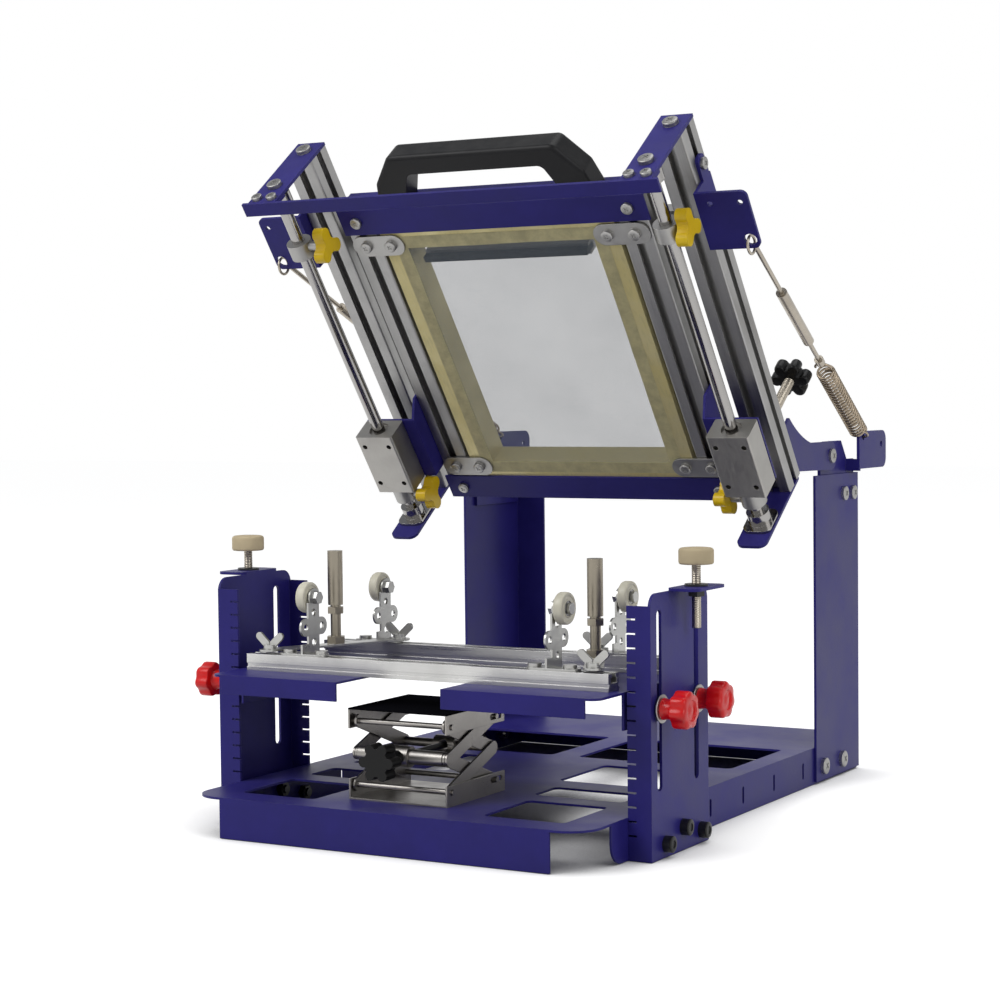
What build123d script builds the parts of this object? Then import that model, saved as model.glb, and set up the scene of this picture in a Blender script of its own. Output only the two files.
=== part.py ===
"""Tabletop screen printing press for round and flat goods, with a tilting screen head."""
import os
from math import atan2, cos, degrees, hypot, radians, sin, sqrt

from build123d import *

os.makedirs("parts", exist_ok=True)

# ---- overall sizes (millimetres) ----
BASE_WIDTH = 396.0          # across the side flanges of the base
BASE_DEPTH = 600.0
BASE_HEIGHT = 36.0
SHEET = 2.0                 # folded sheet of the base and the shelf
STEEL = 2.5                 # columns, posts and carriage brackets
PLATE = 3.0                 # hinge plates, caps and side brackets
ANCHOR_OVERHANG = 48.0      # spring anchors stand out behind the base
PIVOT_D = 518.0             # head pivot, from the front of the base
PIVOT_Z = 323.0
RAISE = 53.1                # head angle above level, as it stands open
HEAD_LENGTH = 394.0         # cut length of the outer profiles
RUNNING = 0.05              # radial clearance of every running fit
EASE = 0.3                  # radial clearance of every plain bolt hole
FRONT = -(BASE_DEPTH + ANCHOR_OVERHANG) / 2


def at(depth):
    """Give the Y of a point measured back from the front of the base."""
    return FRONT + depth


# ---- head frame: u runs up the head from the pivot, w points to the goods ----
TILT_C, TILT_S = cos(radians(RAISE)), sin(radians(RAISE))
HEAD = Plane(origin=(0, at(PIVOT_D), PIVOT_Z), x_dir=(1, 0, 0), z_dir=(0, -TILT_S, -TILT_C))
U_DIR = (0, -TILT_C, TILT_S)


def head_level(w):
    """Plane of the head at height w; its sketch axes are X and u."""
    return HEAD.offset(w)


def head_section(u):
    """Plane square to the head at distance u; its sketch axes are X and minus w."""
    return Plane(origin=HEAD.from_local_coords((0, u, 0)), x_dir=(1, 0, 0), z_dir=U_DIR)


def head_side(x):
    """Upright plane along the head at x; its sketch axes are u and w."""
    return Plane(origin=HEAD.from_local_coords((x, 0, 0)), x_dir=U_DIR, z_dir=(1, 0, 0))


def slab(plane, first, second, thickness, radius=0.0, mode=Mode.ADD):
    """Extrude a rectangle given by its two ranges on the plane."""
    with BuildSketch(plane) as outline:
        with Locations(((first[0] + first[1]) / 2, (second[0] + second[1]) / 2)):
            if radius:
                RectangleRounded(abs(first[1] - first[0]), abs(second[1] - second[0]), radius)
            else:
                Rectangle(abs(first[1] - first[0]), abs(second[1] - second[0]))
    extrude(outline.sketch, amount=thickness, mode=mode)


def disc(plane, centre, radius, thickness, mode=Mode.ADD):
    """Extrude a circle from the plane."""
    with BuildSketch(plane) as outline:
        with Locations(centre):
            Circle(radius)
    extrude(outline.sketch, amount=thickness, mode=mode)


def hexagon(plane, centre, radius, thickness):
    """Extrude a hexagon from the plane."""
    with BuildSketch(plane) as outline:
        with Locations(centre):
            RegularPolygon(radius, 6)
    extrude(outline.sketch, amount=thickness)


def bolt(plane, centre, head, shank, grip, nut):
    """Bolt with its head on the plane and its nut behind the grip; sizes are (radius, length)."""
    disc(plane, centre, head[0], head[1])
    disc(plane, centre, shank, -(grip + nut[1] + shank / 2))
    hexagon(plane.offset(-grip), centre, nut[0], -nut[1])


def lobed(plane, centre, core, lobe, reach, count, thickness):
    """Extrude a star grip: a round core with lobes standing at the reach."""
    with BuildSketch(plane) as outline:
        with Locations(centre):
            Circle(core)
            with PolarLocations(reach, count):
                Circle(lobe)
    extrude(outline.sketch, amount=thickness)


def save(build, label):
    """Label a finished piece and write its file."""
    build.part.label = label
    export_step(build.part, f"parts/{label}.step")


SIDES = ((-1, "left"), (1, "right"))

# ---- base ----
BASE_TOP = BASE_HEIGHT - SHEET
BASE_CORNER = 28.0
FRONT_LIP = 165.0           # half width of the front flange
FLANGE_START = 46.0         # side flanges begin behind the front corner
STRIP = 14.0                # half width of the middle strip at the rear
WINDOWS = ((85, 163, 30, 110), (75, 163, 135, 178), (60, 165, 210, 303), (STRIP, 175, 335, 460))
COLUMN_BOLTS = ((102.0, 11.5), (136.0, 20.0), (172.0, 11.5))
POST_BOLTS = ((503.0, 16.0), (552.0, 16.0))
BOLT_R = 4.0
WINDOW_CORNER = 6.0
SIDE_SLOT = (16, 4)         # hand slots in the side flanges
SIDE_SLOT_D = 240.0
SIDE_SLOT_STEP = 72.0
# head radius and height of each kind of bolt, and of its nut
CAP_HEAD = (7, 7)
WIDE_HEAD = (8, 3.5)
PAN_HEAD = (7, 3)
PIVOT_HEAD = (7, 2.5)
NUT = (7, 6)
SIDE_X = BASE_WIDTH / 2

with BuildPart() as base_plate:
    with BuildSketch(Plane.XY.offset(BASE_TOP)) as top_sheet:
        with Locations((0, at(BASE_DEPTH / 2))):
            Rectangle(BASE_WIDTH, BASE_DEPTH)
        fillet(top_sheet.vertices().group_by(Axis.Y)[0], BASE_CORNER)
        for side, _ in SIDES:
            for x_in, x_out, d_in, d_out in WINDOWS:
                with Locations((side * (x_in + x_out) / 2, at((d_in + d_out) / 2))):
                    RectangleRounded(x_out - x_in, d_out - d_in, WINDOW_CORNER, mode=Mode.SUBTRACT)
    extrude(amount=SHEET)
    for side, _ in SIDES:
        with BuildSketch(Plane.YZ.offset(side * (SIDE_X - SHEET / 2))) as flange:
            with Locations((at((FLANGE_START + BASE_DEPTH) / 2), BASE_HEIGHT / 2)):
                Rectangle(BASE_DEPTH - FLANGE_START, BASE_HEIGHT)
            fillet(flange.vertices().group_by(Axis.X)[0].sort_by(Axis.Y)[0], BASE_HEIGHT / 2)
            with Locations(*[(at(SIDE_SLOT_D + SIDE_SLOT_STEP * step), BASE_HEIGHT / 2 - 1)
                             for step in range(4)]):
                SlotOverall(*SIDE_SLOT, rotation=90, mode=Mode.SUBTRACT)
            with Locations(*[(at(d), z) for d, z in COLUMN_BOLTS + POST_BOLTS]):
                Circle(BOLT_R + EASE, mode=Mode.SUBTRACT)
        extrude(amount=SHEET / 2, both=True)
    slab(Plane.XZ.offset(-at(0)), (-FRONT_LIP, FRONT_LIP), (0, BASE_HEIGHT), -SHEET)
    slab(Plane.XZ.offset(-at(BASE_DEPTH)), (-SIDE_X, SIDE_X), (0, BASE_HEIGHT), SHEET)
save(base_plate, "base_plate")

# ---- front columns ----
COLUMN_D = (76.0, 188.0)
WEB_CORNER = 12.0
SLIT_START = 20.0           # height marks cut in the column edges
SLIT_STEP = 12.0
SLIT_DEPTH = 8.0
SLIT_WIDTH = 1.6
COLUMN_X = 220.0            # outer face of the column web
COLUMN_TOP = 222.0
FLANGE_TOP = 212.0
SLOT_D = (92.0, 164.0)      # height slots, one in front of the other
SLOT_Z = (57.0, 208.0)
SLOT_WIDTH = 9.0
SLITS = 16
STOP_X = 232.0
STOP_D = 140.0
TAB_D = (110.0, 170.0)
TAB_X = 247.0
STOP_STUD_R = 4.0
STOP_BOTTOM = 189.0
WEB_X = COLUMN_X - STEEL

with BuildPart() as front_columns:
    for side, _ in SIDES:
        with BuildSketch(Plane.YZ.offset(side * (COLUMN_X - STEEL / 2))) as web:
            with Locations((at(sum(COLUMN_D) / 2), COLUMN_TOP / 2)):
                Rectangle(COLUMN_D[1] - COLUMN_D[0], COLUMN_TOP)
            fillet(web.vertices().group_by(Axis.Y)[-1], WEB_CORNER)
            with Locations(*[(at(d), sum(SLOT_Z) / 2) for d in SLOT_D]):
                SlotOverall(SLOT_Z[1] - SLOT_Z[0], SLOT_WIDTH, rotation=90, mode=Mode.SUBTRACT)
            with Locations(*[(at(d), z) for d, z in COLUMN_BOLTS]):
                Circle(BOLT_R + EASE, mode=Mode.SUBTRACT)
        extrude(amount=STEEL / 2, both=True)
        for d in (COLUMN_D[0], COLUMN_D[1] - STEEL):
            slab(Plane.XZ.offset(-at(d)), (side * SIDE_X, side * COLUMN_X), (0, FLANGE_TOP), -STEEL)
        for step in range(SLITS):
            slab(Plane.XY.offset(SLIT_START + SLIT_STEP * step),
                 (side * SIDE_X, side * (SIDE_X + SLIT_DEPTH)),
                 (at(COLUMN_D[0] - 1), at(COLUMN_D[1] + 1)), SLIT_WIDTH, mode=Mode.SUBTRACT)
        slab(Plane.XY.offset(COLUMN_TOP), (side * WEB_X, side * TAB_X),
             (at(TAB_D[0]), at(TAB_D[1])), STEEL, radius=8)
        disc(Plane.XY.offset(COLUMN_TOP), (side * STOP_X, at(STOP_D)), STOP_STUD_R + RUNNING, STEEL,
             mode=Mode.SUBTRACT)
save(front_columns, "front_columns")

# ---- rear posts with the hinge lugs ----
POST_D = (485.0, 600.0)
POST_X = SIDE_X + STEEL
POST_TOP = 304.0
POST_FLANGE = 33.0
LUG_FOOT_Z = 268.0
LUG_TOP_Z = 318.0
LUG_REAR_D = 594.0
LUG_BOLTS = ((560.0, 284.0), (584.0, 284.0))
PIVOT_R = 4.0
LUG_X = (SIDE_X - PLATE, SIDE_X)
WING_X = (210.0, 213.0)
WING_D = (572.0, BASE_DEPTH + ANCHOR_OVERHANG)
WING_Z = (308.0, 346.0)
WING_CORNER = 10.0
HOOK_D, HOOK_Z = 583.0, 340.0
HOOK_HOLE = 3.2
BOSS_R = 14.0

with BuildPart() as rear_posts:
    for side, _ in SIDES:
        with BuildSketch(Plane.YZ.offset(side * (SIDE_X + STEEL / 2))):
            with Locations((at(sum(POST_D) / 2), (POST_TOP + SHEET) / 2)):
                Rectangle(POST_D[1] - POST_D[0], POST_TOP - SHEET)
            with Locations(*[(at(d), z) for d, z in POST_BOLTS + LUG_BOLTS]):
                Circle(BOLT_R + EASE, mode=Mode.SUBTRACT)
        extrude(amount=STEEL / 2, both=True)
        slab(Plane.XZ.offset(-at(POST_D[1])), (side * (SIDE_X - POST_FLANGE), side * POST_X),
             (BASE_HEIGHT, POST_TOP), STEEL)
save(rear_posts, "rear_posts")

with BuildPart() as hinge_lugs:
    for side, _ in SIDES:
        with BuildSketch(Plane.YZ.offset(side * sum(LUG_X) / 2)):
            with Locations((at(PIVOT_D), PIVOT_Z)):
                Circle(BOSS_R)
            with BuildLine():
                Polyline((at(PIVOT_D - BOSS_R), PIVOT_Z), (at(PIVOT_D - BOSS_R), LUG_FOOT_Z),
                         (at(LUG_REAR_D), LUG_FOOT_Z), (at(LUG_REAR_D), LUG_TOP_Z),
                         (at(WING_D[0] + PLATE), LUG_TOP_Z),
                         (at(560), PIVOT_Z + BOSS_R), (at(PIVOT_D), PIVOT_Z + BOSS_R),
                         (at(PIVOT_D - BOSS_R), PIVOT_Z))
            make_face()
            with Locations((at(PIVOT_D), PIVOT_Z)):
                Circle(PIVOT_R + EASE, mode=Mode.SUBTRACT)
            with Locations(*[(at(d), z) for d, z in LUG_BOLTS]):
                Circle(BOLT_R + EASE, mode=Mode.SUBTRACT)
        extrude(amount=PLATE / 2, both=True)
        slab(Plane.XZ.offset(-at(WING_D[0])), (side * LUG_X[0], side * WING_X[1]),
             (LUG_TOP_Z - 12, LUG_TOP_Z),
             -PLATE)
        with BuildSketch(Plane.YZ.offset(side * sum(WING_X) / 2)) as wing:
            with Locations((at(sum(WING_D) / 2), sum(WING_Z) / 2)):
                Rectangle(WING_D[1] - WING_D[0], WING_Z[1] - WING_Z[0])
            fillet(wing.vertices().group_by(Axis.X)[-1], WING_CORNER)
            with Locations((at(HOOK_D), HOOK_Z)):
                Circle(HOOK_HOLE, mode=Mode.SUBTRACT)
            with Locations((at(WING_D[1] - 14), HOOK_Z - 8)):
                Circle(HOOK_HOLE, mode=Mode.SUBTRACT)
        extrude(amount=PLATE / 2, both=True)
save(hinge_lugs, "hinge_lugs")

GUSSET_X = (SIDE_X + PLATE, SIDE_X + 2 * PLATE)
with BuildPart() as base_screws:
    for side, _ in SIDES:
        outward = Plane.YZ if side > 0 else Plane(origin=(0, 0, 0), x_dir=(0, 1, 0), z_dir=(-1, 0, 0))
        flip = 1 if side > 0 else -1
        for d, z in COLUMN_BOLTS:
            bolt(outward.offset(COLUMN_X), (at(d), flip * z), CAP_HEAD, BOLT_R,
                 COLUMN_X - SIDE_X + SHEET, NUT)
        for d, z in POST_BOLTS:
            bolt(outward.offset(POST_X), (at(d), flip * z), WIDE_HEAD, BOLT_R, STEEL + SHEET, NUT)
        for d, z in LUG_BOLTS:
            bolt(outward.offset(POST_X), (at(d), flip * z), PAN_HEAD, BOLT_R, STEEL + PLATE, NUT)
        pivot = (at(PIVOT_D), flip * PIVOT_Z)
        bolt(outward.offset(GUSSET_X[1] + 0.1), pivot, PIVOT_HEAD, PIVOT_R,
             GUSSET_X[1] - LUG_X[0] + 0.1, NUT)
        disc(outward.offset(LUG_X[1]), pivot, 8, GUSSET_X[0] - LUG_X[1] - 0.1)
        with BuildSketch(Plane.XY.offset(COLUMN_TOP)) as nut:
            with Locations((side * STOP_X, at(STOP_D))):
                RegularPolygon(7.5, 6)
                Circle(STOP_STUD_R + RUNNING, mode=Mode.SUBTRACT)
        extrude(amount=-6)
        with BuildSketch(Plane.XY.offset(COLUMN_TOP + STEEL)) as washer:
            with Locations((side * STOP_X, at(STOP_D))):
                Circle(10)
                Circle(STOP_STUD_R + RUNNING, mode=Mode.SUBTRACT)
        extrude(amount=2)
save(base_screws, "base_screws")

# ---- rest stops ----
PAD_TOP = 257.0
PAD_HEIGHT = 14.0
PAD_R = 15.0
for side, name in SIDES:
    with BuildPart() as rest_stop:
        disc(Plane.XY.offset(STOP_BOTTOM), (side * STOP_X, at(STOP_D)), STOP_STUD_R,
             PAD_TOP - PAD_HEIGHT - STOP_BOTTOM)
        disc(Plane.XY.offset(PAD_TOP - PAD_HEIGHT), (side * STOP_X, at(STOP_D)), PAD_R, PAD_HEIGHT)
        chamfer(rest_stop.edges().filter_by(GeomType.CIRCLE).group_by(Axis.Z)[-1], 1.5)
    save(rest_stop, f"rest_stop_{name}")

# ---- shelf ----
SHELF_TOP = 140.0
SHELF_X = 195.0
SHELF_D = (29.0, 218.0)
SHELF_GAP = ((-60.0, 46.0), (29.0, 150.0))
SHELF_CORNER = 10.0
EAR_BOTTOM = 108.0          # side ears that hold the knob studs
EAR_WIDTH = 104.0
SHELF_FLANGE_Z = 123.0
KNOB_Z = 126.0
KNOB_STUD_R = 4.0
RAIL_X = 184.0
RAIL_D = (70.0, 194.0)
RAIL_WIDTH = 20.0
RAIL_HEIGHT = 15.0
SHELF_UNDER = SHELF_TOP - SHEET

with BuildPart() as shelf:
    with BuildSketch(Plane.XY.offset(SHELF_UNDER)) as tray:
        with Locations((0, at(sum(SHELF_D) / 2))):
            Rectangle(2 * SHELF_X, SHELF_D[1] - SHELF_D[0])
        fillet(tray.vertices(), SHELF_CORNER)
        with Locations((sum(SHELF_GAP[0]) / 2, at(sum(SHELF_GAP[1]) / 2))):
            Rectangle(SHELF_GAP[0][1] - SHELF_GAP[0][0], SHELF_GAP[1][1] - SHELF_GAP[1][0],
                      mode=Mode.SUBTRACT)
    extrude(amount=SHEET)
    for span in ((SHELF_CORNER + 2 - SHELF_X, SHELF_GAP[0][0]),
                 (SHELF_GAP[0][1], SHELF_X - SHELF_CORNER - 2)):
        slab(Plane.XZ.offset(-at(SHELF_D[0])), span, (SHELF_FLANGE_Z, SHELF_TOP), -SHEET)
    for side, _ in SIDES:
        with BuildSketch(Plane.YZ.offset(side * (SHELF_X - SHEET / 2))):
            with Locations((at(sum(SLOT_D) / 2), (EAR_BOTTOM + SHELF_TOP) / 2)):
                Rectangle(EAR_WIDTH, SHELF_TOP - EAR_BOTTOM)
            with Locations(*[(at(d), KNOB_Z) for d in SLOT_D]):
                Circle(KNOB_STUD_R + EASE, mode=Mode.SUBTRACT)
        extrude(amount=SHEET / 2, both=True)
save(shelf, "shelf")

with BuildPart() as shelf_bushes:
    for side, _ in SIDES:
        with BuildSketch(Plane.YZ.offset(side * SHELF_X)):
            with Locations(*[(at(d), KNOB_Z) for d in SLOT_D]):
                Circle(8)
                Circle(KNOB_STUD_R + RUNNING, mode=Mode.SUBTRACT)
        extrude(amount=side * (WEB_X - SHELF_X - 0.2))
save(shelf_bushes, "shelf_bushes")

with BuildPart() as rails:
    for d in RAIL_D:
        with BuildSketch(Plane.YZ.offset(-RAIL_X)):
            with Locations((at(d + RAIL_WIDTH / 2), SHELF_TOP + RAIL_HEIGHT / 2)):
                Rectangle(RAIL_WIDTH, RAIL_HEIGHT)
            with Locations((at(d + RAIL_WIDTH / 2), SHELF_TOP + RAIL_HEIGHT - 2)):
                Rectangle(6.4, 4, mode=Mode.SUBTRACT)
            with Locations((at(d + RAIL_WIDTH / 2), SHELF_TOP + RAIL_HEIGHT - 6)):
                Rectangle(11, 5, mode=Mode.SUBTRACT)
            with Locations((at(d), SHELF_TOP + 5), (at(d + RAIL_WIDTH), SHELF_TOP + 5)):
                Rectangle(3, 3, mode=Mode.SUBTRACT)
        extrude(amount=2 * RAIL_X)
save(rails, "rails")

RED_HEAD = (235.0, 250.0)
for side, name in SIDES:
    outward = Plane(origin=(0, 0, 0), x_dir=(0, 1, 0), z_dir=(side, 0, 0))
    for place, d in (("front", SLOT_D[0]), ("rear", SLOT_D[1])):
        centre = (at(d), side * KNOB_Z)
        with BuildPart() as red_knob:
            disc(outward.offset(SHELF_X - SHEET - 3), centre, KNOB_STUD_R, COLUMN_X - SHELF_X + SHEET + 3)
            disc(outward.offset(COLUMN_X), centre, 12, 1.5)
            disc(outward.offset(COLUMN_X + 1.5), centre, 9.5, RED_HEAD[0] - COLUMN_X - 1.5)
            lobed(outward.offset(RED_HEAD[0]), centre, 13, 3.6, 12.4, 7, RED_HEAD[1] - RED_HEAD[0])
        save(red_knob, f"red_knob_{place}_{name}")

# ---- roller stands ----
ROLLER_X = (127.0, 136.0)
ROLLER_R = 14.0
AXLE_Z = 206.0
AXLE_R = 3.0
AXLE_D = (92.0, 212.0)
ARM_X = (123.5, 125.5)
STEM_WIDTH = 17.0
STEM_HEIGHT = 47.0
LOBE_RISE = 25.0            # middle of the side lobes above the rails
LOBE_REACH = 12.5
LOBE_R = 8.0
ARM_HOLE_R = 3.2
ARM_HOLES = ((-LOBE_REACH, 0), (LOBE_REACH, 0), (0, -14), (0, 13))
FOOT_Z = SHELF_TOP + RAIL_HEIGHT
STRAP_Z = FOOT_Z + SHEET
POST_AT = (135.0, 142.0)
STRAP_ENDS = ((165.0, 80.0), (105.0, 204.0))
PIN_R = 7.0
PIN_TOP = 245.0
WING_THICKNESS = 2.4        # wings of the wing nuts
WING_LENGTH = 17.0
WING_REACH = 7.5
WING_LEAN = 42.0

for side, name in SIDES:
    outward = Plane(origin=(0, 0, 0), x_dir=(0, 1, 0), z_dir=(side, 0, 0))
    with BuildPart() as roller_stand:
        for rail_d, axle_d in zip(RAIL_D, AXLE_D):
            rail_mid = rail_d + RAIL_WIDTH / 2
            with BuildSketch(Plane.XY.offset(FOOT_Z)):
                with Locations((side * 127.5, at(rail_mid))):
                    SlotOverall(50, 18)
            extrude(amount=SHEET)
            arm_mid = axle_d - 2
            lobe_z = FOOT_Z + LOBE_RISE
            with BuildSketch(outward.offset(ARM_X[0])):
                with Locations((at((rail_mid + arm_mid) / 2), side * (FOOT_Z + 5))):
                    Rectangle(STEM_WIDTH + abs(arm_mid - rail_mid), 10)
                with Locations((at(arm_mid), side * (FOOT_Z + STEM_HEIGHT / 2))):
                    Rectangle(STEM_WIDTH, STEM_HEIGHT)
                with Locations((at(arm_mid), side * lobe_z)):
                    SlotOverall(2 * (LOBE_REACH + LOBE_R), 2 * LOBE_R)
                with Locations((at(axle_d), side * AXLE_Z)):
                    Circle(STEM_WIDTH / 2)
                with Locations(*[(at(arm_mid + d), side * (lobe_z + z)) for d, z in ARM_HOLES]):
                    Circle(ARM_HOLE_R, mode=Mode.SUBTRACT)
            extrude(amount=ARM_X[1] - ARM_X[0])
            disc(outward.offset(ARM_X[0]), (at(axle_d), side * AXLE_Z), AXLE_R, ROLLER_X[1] - ARM_X[0] + 0.3)
            hexagon(outward.offset(ARM_X[0]), (at(axle_d), side * AXLE_Z), 6, -5)
            disc(outward.offset(ROLLER_X[1] + 0.3), (at(axle_d), side * AXLE_Z), 5, 3)
            for screw_x in (109.0, 143.0):
                disc(Plane.XY.offset(STRAP_Z), (side * screw_x, at(rail_mid)), 6, 3)
        span = (STRAP_ENDS[0][0] - STRAP_ENDS[1][0], STRAP_ENDS[1][1] - STRAP_ENDS[0][1])
        slant = degrees(atan2(span[1], -side * span[0]))
        with BuildSketch(Plane.XY.offset(STRAP_Z)):
            with Locations(Location((side * POST_AT[0], at(POST_AT[1]), 0), (0, 0, slant))):
                SlotOverall(hypot(*span) + 20, 17)
        extrude(amount=SHEET)
        for x, d in STRAP_ENDS:
            disc(Plane.XY.offset(STRAP_Z + SHEET), (side * x, at(d)), 6, 4)
            with BuildSketch(Plane.XZ.offset(-at(d + WING_THICKNESS / 2))):
                for way in (-1, 1):
                    with Locations(Location((side * x + way * WING_REACH, STRAP_Z + SHEET + 8, 0),
                                            (0, 0, way * WING_LEAN))):
                        SlotOverall(WING_LENGTH, 7)
            extrude(amount=WING_THICKNESS)
        post = (side * POST_AT[0], at(POST_AT[1]))
        disc(Plane.XY.offset(STRAP_Z + SHEET), post, 4.8, PIN_TOP - 50 - STRAP_Z - SHEET)
        hexagon(Plane.XY.offset(STRAP_Z + SHEET), post, 9, 7)
        hexagon(Plane.XY.offset(PIN_TOP - 58), post, 8, 6)
        disc(Plane.XY.offset(PIN_TOP - 50), post, PIN_R, 50)
    save(roller_stand, f"roller_stand_{name}")
    for place, d in (("front", AXLE_D[0]), ("rear", AXLE_D[1])):
        with BuildPart() as roller:
            with BuildSketch(outward.offset(ROLLER_X[0])):
                with Locations((at(d), side * AXLE_Z)):
                    Circle(ROLLER_R)
                    Circle(AXLE_R + RUNNING, mode=Mode.SUBTRACT)
            extrude(amount=ROLLER_X[1] - ROLLER_X[0])
            chamfer(roller.edges().filter_by(lambda edge: edge.geom_type == GeomType.CIRCLE
                                             and edge.radius > ROLLER_R / 2), 1.2)
        save(roller, f"roller_{place}_{name}")

# ---- tilting head: outer frame ----
PROFILE = 30.0
U_REAR = 40.0
U_FRONT = U_REAR + HEAD_LENGTH
W_TOP = 76.0                # upper face of the outer profiles
SHAFT_W = 151.0
SHAFT_R = 6.0
LINE_X = 191.0              # middle plane of outer profile, shaft and bearing block
OUTER_X = (LINE_X - PROFILE / 2, LINE_X + PROFILE / 2)


def add_profile(x, w, u_first, u_last):
    """Slotted square profile along the head, centred on x and w."""
    with BuildSketch(head_section(u_first)) as section:
        with Locations((x, -w)):
            RectangleRounded(PROFILE, PROFILE, 1.5)
            Circle(3.4, mode=Mode.SUBTRACT)
            with PolarLocations(PROFILE / 2, 4):
                Rectangle(4, 8, mode=Mode.SUBTRACT)
            with PolarLocations(PROFILE / 2 - 4.5, 4):
                Rectangle(5, 14, mode=Mode.SUBTRACT)
    extrude(section.sketch, amount=u_last - u_first)


with BuildPart() as outer_profiles:
    for side, _ in SIDES:
        add_profile(side * LINE_X, W_TOP + PROFILE / 2, U_REAR, U_FRONT)
save(outer_profiles, "outer_profiles")

CAP_W = {"front": (W_TOP, 178.0), "rear": (W_TOP, 185.0)}
with BuildPart() as end_caps:
    for side, _ in SIDES:
        for u, reach in ((U_FRONT, CAP_W["front"]), (U_REAR - PLATE, CAP_W["rear"])):
            with BuildSketch(head_section(u)) as cap:
                with Locations((side * LINE_X, -sum(reach) / 2)):
                    Rectangle(PROFILE, reach[1] - reach[0])
                if u < U_FRONT:
                    fillet(cap.vertices(), 8)
                with Locations((side * LINE_X, -(W_TOP + PROFILE / 2)), (side * LINE_X, -SHAFT_W)):
                    Circle(BOLT_R + EASE, mode=Mode.SUBTRACT)
            extrude(amount=PLATE)
save(end_caps, "end_caps")

BAR_U = (U_FRONT + PLATE - 13, U_FRONT + PLATE)
BAR_X = 212.0
with BuildPart() as front_bar:
    slab(head_level(CAP_W["front"][1]), (-BAR_X, BAR_X), BAR_U, PLATE)
    for side, _ in SIDES:
        slab(head_level(161), (side * OUTER_X[0], side * OUTER_X[1]), (U_FRONT - STEEL, U_FRONT), 17)
save(front_bar, "front_bar")

with BuildPart() as guide_shafts:
    for side, _ in SIDES:
        centre = (side * LINE_X, -SHAFT_W)
        disc(head_section(U_REAR), centre, SHAFT_R, HEAD_LENGTH)
        for first, length in ((U_REAR + PLATE, 12), (U_FRONT - 16, 12)):
            with BuildSketch(head_section(first)) as ring:
                with Locations(centre):
                    Circle(11)
                    Circle(SHAFT_R, mode=Mode.SUBTRACT)
            extrude(amount=length)
        with BuildSketch(head_section(U_REAR)) as foot:
            with Locations(centre):
                RectangleRounded(28, 34, 8)
                Circle(SHAFT_R, mode=Mode.SUBTRACT)
        extrude(amount=PLATE)
save(guide_shafts, "guide_shafts")

with BuildPart() as hinge_gussets:
    for side, _ in SIDES:
        with BuildSketch(head_side(side * sum(GUSSET_X) / 2)) as web:
            with BuildLine():
                Polyline((-11.2, 8.4), (41, W_TOP), (95, W_TOP), (95, 62))
                ThreePointArc((95, 62), (66, 50), (43, 34))
                Line((43, 34), (13.6, -5.2))
                ThreePointArc((13.6, -5.2), (-8.7, -11.2), (-11.2, 8.4))
            make_face()
            Circle(PIVOT_R + RUNNING, mode=Mode.SUBTRACT)
        extrude(amount=PLATE / 2, both=True)
        slab(head_level(W_TOP), (side * OUTER_X[0], side * GUSSET_X[1]), (42, 94), -PLATE)
save(hinge_gussets, "hinge_gussets")

BRACKET_U = (324.0, 382.0)
BRACKET_W = 118.0           # face that lands on the rest stops
BRACKET_X = 255.0
SHACKLE_X, SHACKLE_U, SHACKLE_HOLE = 247.0, 333.0, 5.8
with BuildPart() as side_brackets:
    for side, _ in SIDES:
        with BuildSketch(head_side(side * (OUTER_X[1] + PLATE / 2))):
            with Locations((sum(BRACKET_U) / 2, (81 + BRACKET_W) / 2)):
                Rectangle(BRACKET_U[1] - BRACKET_U[0], BRACKET_W - 81)
            with Locations((BRACKET_U[1] + 6, W_TOP + PROFILE / 2)):
                RectangleRounded(32, 14, 5)
        extrude(amount=PLATE / 2, both=True)
        with BuildSketch(head_level(BRACKET_W - PLATE)) as plate:
            with Locations((side * (OUTER_X[1] + BRACKET_X) / 2, sum(BRACKET_U) / 2)):
                Rectangle(BRACKET_X - OUTER_X[1], BRACKET_U[1] - BRACKET_U[0])
            fillet(plate.vertices().group_by(Axis.X)[-1 if side > 0 else 0], 6)
            with Locations((side * SHACKLE_X, SHACKLE_U)):
                Circle(SHACKLE_HOLE, mode=Mode.SUBTRACT)
            with Locations((side * SHACKLE_X, SHACKLE_U + 38), (side * (SHACKLE_X - 28), SHACKLE_U + 38)):
                Circle(2.6, mode=Mode.SUBTRACT)
        extrude(amount=PLATE)
save(side_brackets, "side_brackets")

with BuildPart() as head_screws:
    for side, _ in SIDES:
        front, rear = head_section(U_FRONT + PLATE), head_section(U_REAR - PLATE)
        for w in (W_TOP + PROFILE / 2, SHAFT_W):
            disc(front, (side * LINE_X, -w), 7, 3.5)
            disc(rear, (side * LINE_X, -w), 7, -3.5)
        disc(front, (side * (LINE_X + 8), -172), 5, 3)
        disc(front, (side * (LINE_X - 8), -172), 5, 3)
        for u in (54, 82):
            disc(head_level(W_TOP - PLATE), (side * LINE_X, u), 6, -3)
        outward = head_side(side * (OUTER_X[1] + PLATE))
        for u in (BRACKET_U[0] + 14, BRACKET_U[1] + 14):
            disc(outward, (u, W_TOP + PROFILE / 2), 5.5, side * 3)
save(head_screws, "head_screws")

STAR_U = 104.0
for side, name in SIDES:
    centre = (side * LINE_X, STAR_U)
    with BuildPart() as star_knob:
        disc(head_level(20), centre, 3.75, 62)
        disc(head_level(W_TOP - 6), centre, 8, 6)
        disc(head_level(16), centre, 10, 12)
        lobed(head_level(2), centre, 13, 5.5, 14.5, 6, 15)
    save(star_knob, f"star_knob_{name}")

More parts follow.
